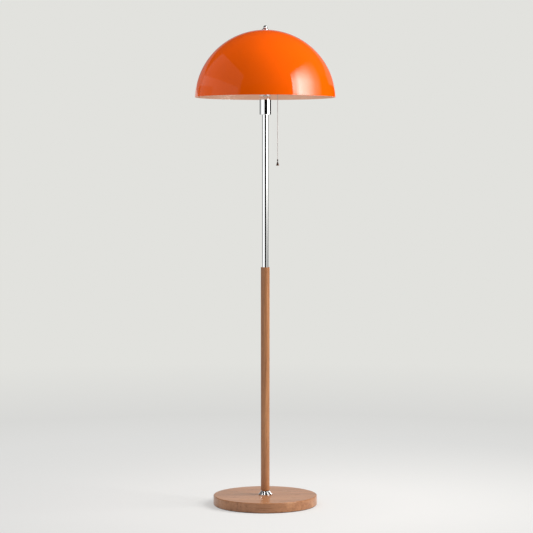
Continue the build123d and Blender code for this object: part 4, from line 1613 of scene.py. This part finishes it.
@dataclass
class Studio:
    """The floor, backdrop, lights and camera."""

    focal: float = 129.18
    camera_place: tuple[float, float, float] = (0.0041, -6.0704, 1.0653)
    camera_pitch: float = -2.8637
    floor_half: float = 40.0
    backdrop: Colour = (0.760, 0.760, 0.730, 1.0)
    ambient: float = 0.28
    highlight: tuple[float, float, float] = (0.08, -0.19, 1.335)
    key_level: float = 17.2
    key_reach: float = 3.6
    key_height: float = 2.1
    key_width: float = 3.0
    key_colour: tuple[float, float, float] = (1.0, 0.97, 0.94)
    key_across: tuple[Ring, ...] = (
        (0.0, 0.54),
        (0.22, 0.55),
        (0.43, 1.0),
        (0.67, 0.63),
        (0.86, 0.13),
        (1.0, 0.0),
    )
    key_up: tuple[Ring, ...] = ((0.0, 0.30), (0.30, 1.0), (0.62, 0.90), (1.0, 0.0))
    overhead_level: float = 0.80
    overhead_centre: tuple[float, float, float] = (-0.9, 0.5, 4.5)
    overhead_half: float = 3.0
    panel_level: float = 0.22
    rear_level: float = 0.26
    ceiling_level: float = 0.03
    side_from: Ring = (80.0, 27.0)
    side_target: tuple[float, float, float] = (0.0, 0.0, 1.2)
    side_reach: float = 3.5
    side_size: float = 2.4
    side_level: float = 10.0
    left_fill_from: Ring = (-100.0, 25.0)
    left_fill_level: float = 1.75
    left_fill_size: float = 0.6
    left_fill_reach: float = 1.2
    dark_from: float = 2.15
    dark_to: float = 4.9
    dark_side: float = 8.0

    def build(self) -> None:
        """Builds the whole studio."""
        self.camera()
        self.world()
        self.floor()
        self.key()
        self.side_light()
        self.left_fill()
        self.overhead()
        self.left_panel()
        self.flags()
        bpy.context.scene.view_settings.view_transform = "Standard"

    def camera(self) -> None:
        """The camera, level with the lamp's upper part and tipped down a little."""
        data = bpy.data.cameras.new("camera")
        data.lens = self.focal
        data.sensor_width = 36.0
        data.clip_end = 200.0
        made = bpy.data.objects.new("camera", data)
        bpy.context.scene.collection.objects.link(made)
        made.location = self.camera_place
        made.rotation_euler = (radians(90.0 + self.camera_pitch), 0.0, 0.0)
        bpy.context.scene.camera = made

    def world(self) -> None:
        """A pale backdrop that the camera, gloss and glass see, and a dimmer even fill."""
        world = bpy.data.worlds.new("studio")
        bpy.context.scene.world = world
        world.use_nodes = True
        graph = Graph(world.node_tree)
        world.node_tree.nodes.clear()
        rays = graph.node("ShaderNodeLightPath").outputs
        seen = graph.math("MAXIMUM", rays["Is Camera Ray"], rays["Is Glossy Ray"])
        seen = graph.math("MAXIMUM", seen, rays["Is Transmission Ray"])
        fill = graph.node("ShaderNodeBackground", {"Color": (1.0, 1.0, 1.0, 1.0), "Strength": self.ambient})
        pale = graph.node("ShaderNodeBackground", {"Color": self.backdrop, "Strength": 1.0})
        mix = graph.node("ShaderNodeMixShader", {0: seen, 1: fill.outputs[0], 2: pale.outputs[0]})
        graph.node("ShaderNodeOutputWorld", {"Surface": mix.outputs[0]})

    def floor(self) -> None:
        """The floor: it takes soft shadows near the lamp, has painted light and shade in its colour (lighter
        near the lamp, darkest in a ring about 2.3 m out), and meets the backdrop's colour far off.
        """
        mesh = bpy.data.meshes.new("floor")
        half = self.floor_half
        corners = [(-half, -half, 0.0), (half, -half, 0.0), (half, half, 0.0), (-half, half, 0.0)]
        mesh.from_pydata(corners, [], [(0, 1, 2, 3)])
        made = bpy.data.objects.new("floor", mesh)
        bpy.context.scene.collection.objects.link(made)
        material = bpy.data.materials.new("floor")
        material.use_nodes = True
        material.node_tree.nodes.clear()
        graph = Graph(material.node_tree)
        here = graph.node("ShaderNodeTexCoord").outputs["Object"]
        away = graph.node("ShaderNodeVectorMath", {0: here}, operation="LENGTH").outputs["Value"]
        share = graph.span(away, 0.0, 6.0, 0.0, 1.0)
        # Painted light and shade: lighter near the lamp, darkest in a ring about 2.3 m out, then the
        # backdrop's colour.
        stops = [
            (0.0, (0.780, 0.780, 0.772, 1.0)),
            (0.075, (0.785, 0.783, 0.775, 1.0)),
            (0.15, (0.755, 0.755, 0.745, 1.0)),
            (0.38, (0.690, 0.690, 0.675, 1.0)),
            (0.55, (0.725, 0.725, 0.702, 1.0)),
            (0.75, self.backdrop),
        ]
        colour = graph.ramp(share, stops)
        lit = graph.node("ShaderNodeBsdfDiffuse", {"Color": colour})
        even = graph.node("ShaderNodeEmission", {"Color": colour, "Strength": 1.0})
        fade = graph.span(away, 0.5, 1.6, 0.45, 1.0)
        mix = graph.node("ShaderNodeMixShader", {0: fade, 1: lit.outputs[0], 2: even.outputs[0]})
        graph.node("ShaderNodeOutputMaterial", {"Surface": mix.outputs[0]})
        mesh.materials.append(material)
        made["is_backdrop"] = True

    def toward(self, azimuth: float, elevation: float) -> Vector:
        """A direction as seen from the lamp.

        Args:
            azimuth: degrees from the camera, positive to the right.
            elevation: degrees above the horizontal.

        Returns:
            The unit vector.
        """
        a, e = radians(azimuth), radians(elevation)
        return Vector((sin(a) * cos(e), -cos(a) * cos(e), sin(e)))

    def panel(self, name: str, corner: Vector, across: Vector, up: Vector, level: float) -> bpy.types.Light:
        """A light of four corners, which shines to the side that its edges turn about.

        Args:
            name: its name.
            corner: the corner where it starts.
            across: from that corner along its lower edge.
            up: from that corner along its side edge, square to the lower one.
            level: how bright its face is.

        Returns:
            The light's data.
        """
        data = bpy.data.lights.new(name, "AREA")
        data.shape = "RECTANGLE"
        data.size, data.size_y = across.length, up.length
        data.energy = level * pi * across.length * up.length
        made = bpy.data.objects.new(name, data)
        bpy.context.scene.collection.objects.link(made)
        axes = Matrix((across.normalized(), up.normalized(), across.cross(up).normalized())).transposed()
        made.matrix_world = Matrix.Translation(corner + (across + up) / 2) @ axes.to_4x4()
        made.visible_camera = False
        return data

    def key(self) -> None:
        """The softbox that gloss sees as the dome's highlight, from its left edge and up to its soft top."""
        low, high, back = self.toward(45.4, 5.9), self.toward(49.5, 39.7), self.toward(74.0, 45.0)
        edge = high - low
        nearer = edge.dot(high) / edge.dot(back)
        across = (back * nearer - high).normalized() * self.key_width
        corner = Vector(self.highlight) + low * self.key_reach
        data = self.panel("key", corner, across, edge.normalized() * self.key_height, self.key_level)
        data.color = self.key_colour
        data.use_nodes = True
        graph = Graph(data.node_tree)
        spot = graph.node("ShaderNodeNewGeometry").outputs["Parametric"]
        share = graph.node("ShaderNodeSeparateXYZ", {0: spot}).outputs
        fades = [
            graph.ramp(share[axis], [(place, (level, level, level, 1.0)) for place, level in stops])
            for axis, stops in (("X", self.key_across), ("Y", self.key_up))
        ]
        graph.feed(data.node_tree.nodes["Emission"].inputs["Strength"], graph.math("MULTIPLY", *fades))

        bpy.data.objects["key"].visible_diffuse = False

    def side_light(self) -> None:
        """The soft light from the right that shades the lamp, which gloss doesn't see."""
        azimuth, elevation = self.side_from
        away, across = self.toward(azimuth, elevation), self.toward(azimuth + 90.0, 0.0)
        up = away.cross(across)
        corner = Vector(self.side_target) + away * self.side_reach - (across + up) * (self.side_size / 2)
        data = self.panel("side_light", corner, across * self.side_size, up * self.side_size, self.side_level)
        data.color = self.key_colour
        bpy.data.objects["side_light"].visible_glossy = False

    def left_fill(self) -> None:
        """A weak light that lifts the dome's left flank, which gloss doesn't see."""
        azimuth, elevation = self.left_fill_from
        away, across = self.toward(azimuth, elevation), self.toward(azimuth + 90.0, 0.0)
        up, size = away.cross(across), self.left_fill_size
        corner = Vector(self.highlight) + away * self.left_fill_reach - (across + up) * (size / 2)
        self.panel("left_fill", corner, across * size, up * size, self.left_fill_level)
        bpy.data.objects["left_fill"].visible_glossy = False

    def overhead(self) -> None:
        """A large soft light above the lamp, which gloss doesn't see."""
        half = self.overhead_half
        corner = Vector(self.overhead_centre) - Vector((half, half, 0.0))
        across, up = Vector((2 * half, 0.0, 0.0)), Vector((0.0, 2 * half, 0.0))
        self.panel("overhead", corner, across, up, self.overhead_level)
        bpy.data.objects["overhead"].visible_glossy = False

    def left_panel(self) -> None:
        """A large dull panel at the left, seen in gloss only."""
        corner, across, up = Vector((-3.0, 2.8, -0.3)), Vector((0.0, -6.3, 0.0)), Vector((0.0, 0.0, 5.0))
        self.panel("left_panel", corner, across, up, self.panel_level)
        bpy.data.objects["left_panel"].visible_diffuse = False

    def flags(self) -> None:
        """The room round the white floor, with dark stands and a bright card, seen in gloss only: painted
        reflections, which cast no light or shadow.
        """
        dark, grey = self.card("dark_room", 0.0), self.card("grey_card", 0.05)
        bright = self.card("bright_card", 1.1)
        rear, dim = self.card("rear_wall", self.rear_level), self.card("dim_ceiling", self.ceiling_level)
        walls = (dark, dark, rear, rear)
        near, low, high = self.dark_side, self.dark_from, self.dark_to
        ring = [(-near, -near), (near, -near), (near, near), (-near, near)]
        for k, (start, end) in enumerate(zip(ring, ring[1:] + ring[:1])):
            self.flag(f"dark_wall_{k}", start, end, (low, high), walls[k])
        ceiling = [(x, y, high) for x, y in ring]
        self.sheet("dark_ceiling", ceiling, dim)
        self.flag("front_stand", (-1.7, -near), (7.0, -near), (0.0, low), dark)
        self.flag("right_stand", (3.0, 0.2), (3.0, 9.0), (0.0, low), dark)
        self.flag("left_card", (-3.2, 0.25), (-3.2, 4.0), (0.0, low), grey)
        self.flag("bright_card", (-7.2, -2.3), (-2.4, -7.2), (0.0, low), bright)

    def card(self, name: str, level: float) -> bpy.types.Material:
        """An even material of one level.

        Args:
            name: its name.
            level: how bright it is.

        Returns:
            The material.
        """
        material = bpy.data.materials.new(name)
        material.use_nodes = True
        material.node_tree.nodes.clear()
        graph = Graph(material.node_tree)
        even = graph.node("ShaderNodeEmission", {"Color": (1.0, 1.0, 1.0, 1.0), "Strength": level})
        graph.node("ShaderNodeOutputMaterial", {"Surface": even.outputs[0]})
        return material

    def flag(self, name: str, start: Ring, end: Ring, heights: Ring, material: bpy.types.Material) -> None:
        """An upright sheet between two places on the floor.

        Args:
            name: its name.
            start: x and y of one side.
            end: x and y of the other.
            heights: its lowest and highest edge.
            material: its material.
        """
        low, high = heights
        self.sheet(name, [(*start, low), (*end, low), (*end, high), (*start, high)], material)

    def sheet(
        self, name: str, corners: list[tuple[float, float, float]], material: bpy.types.Material
    ) -> None:
        """A flat sheet that only gloss sees.

        Args:
            name: its name.
            corners: its four corners.
            material: its material.
        """
        mesh = bpy.data.meshes.new(name)
        mesh.from_pydata(corners, [], [(0, 1, 2, 3)])
        mesh.materials.append(material)
        made = bpy.data.objects.new(name, mesh)
        bpy.context.scene.collection.objects.link(made)
        made.visible_camera = False
        made.visible_diffuse = False
        made.visible_transmission = False
        made.visible_shadow = False
        made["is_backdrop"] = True


def main() -> None:
    """Builds the lamp's looks and the studio round it."""
    logging.basicConfig(level=logging.INFO, format="%(name)s: %(message)s")
    for assembly in (Base(), Column(), Harp(), Shade(), Socket(), PullChain(), Bulb()):
        assembly.build()
    dress_kept_nodes()
    Studio().build()
    boxes = [[list(corner) for corner in box] for box in (CAD_BOX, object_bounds())]


if __name__ == "__main__":
    main()
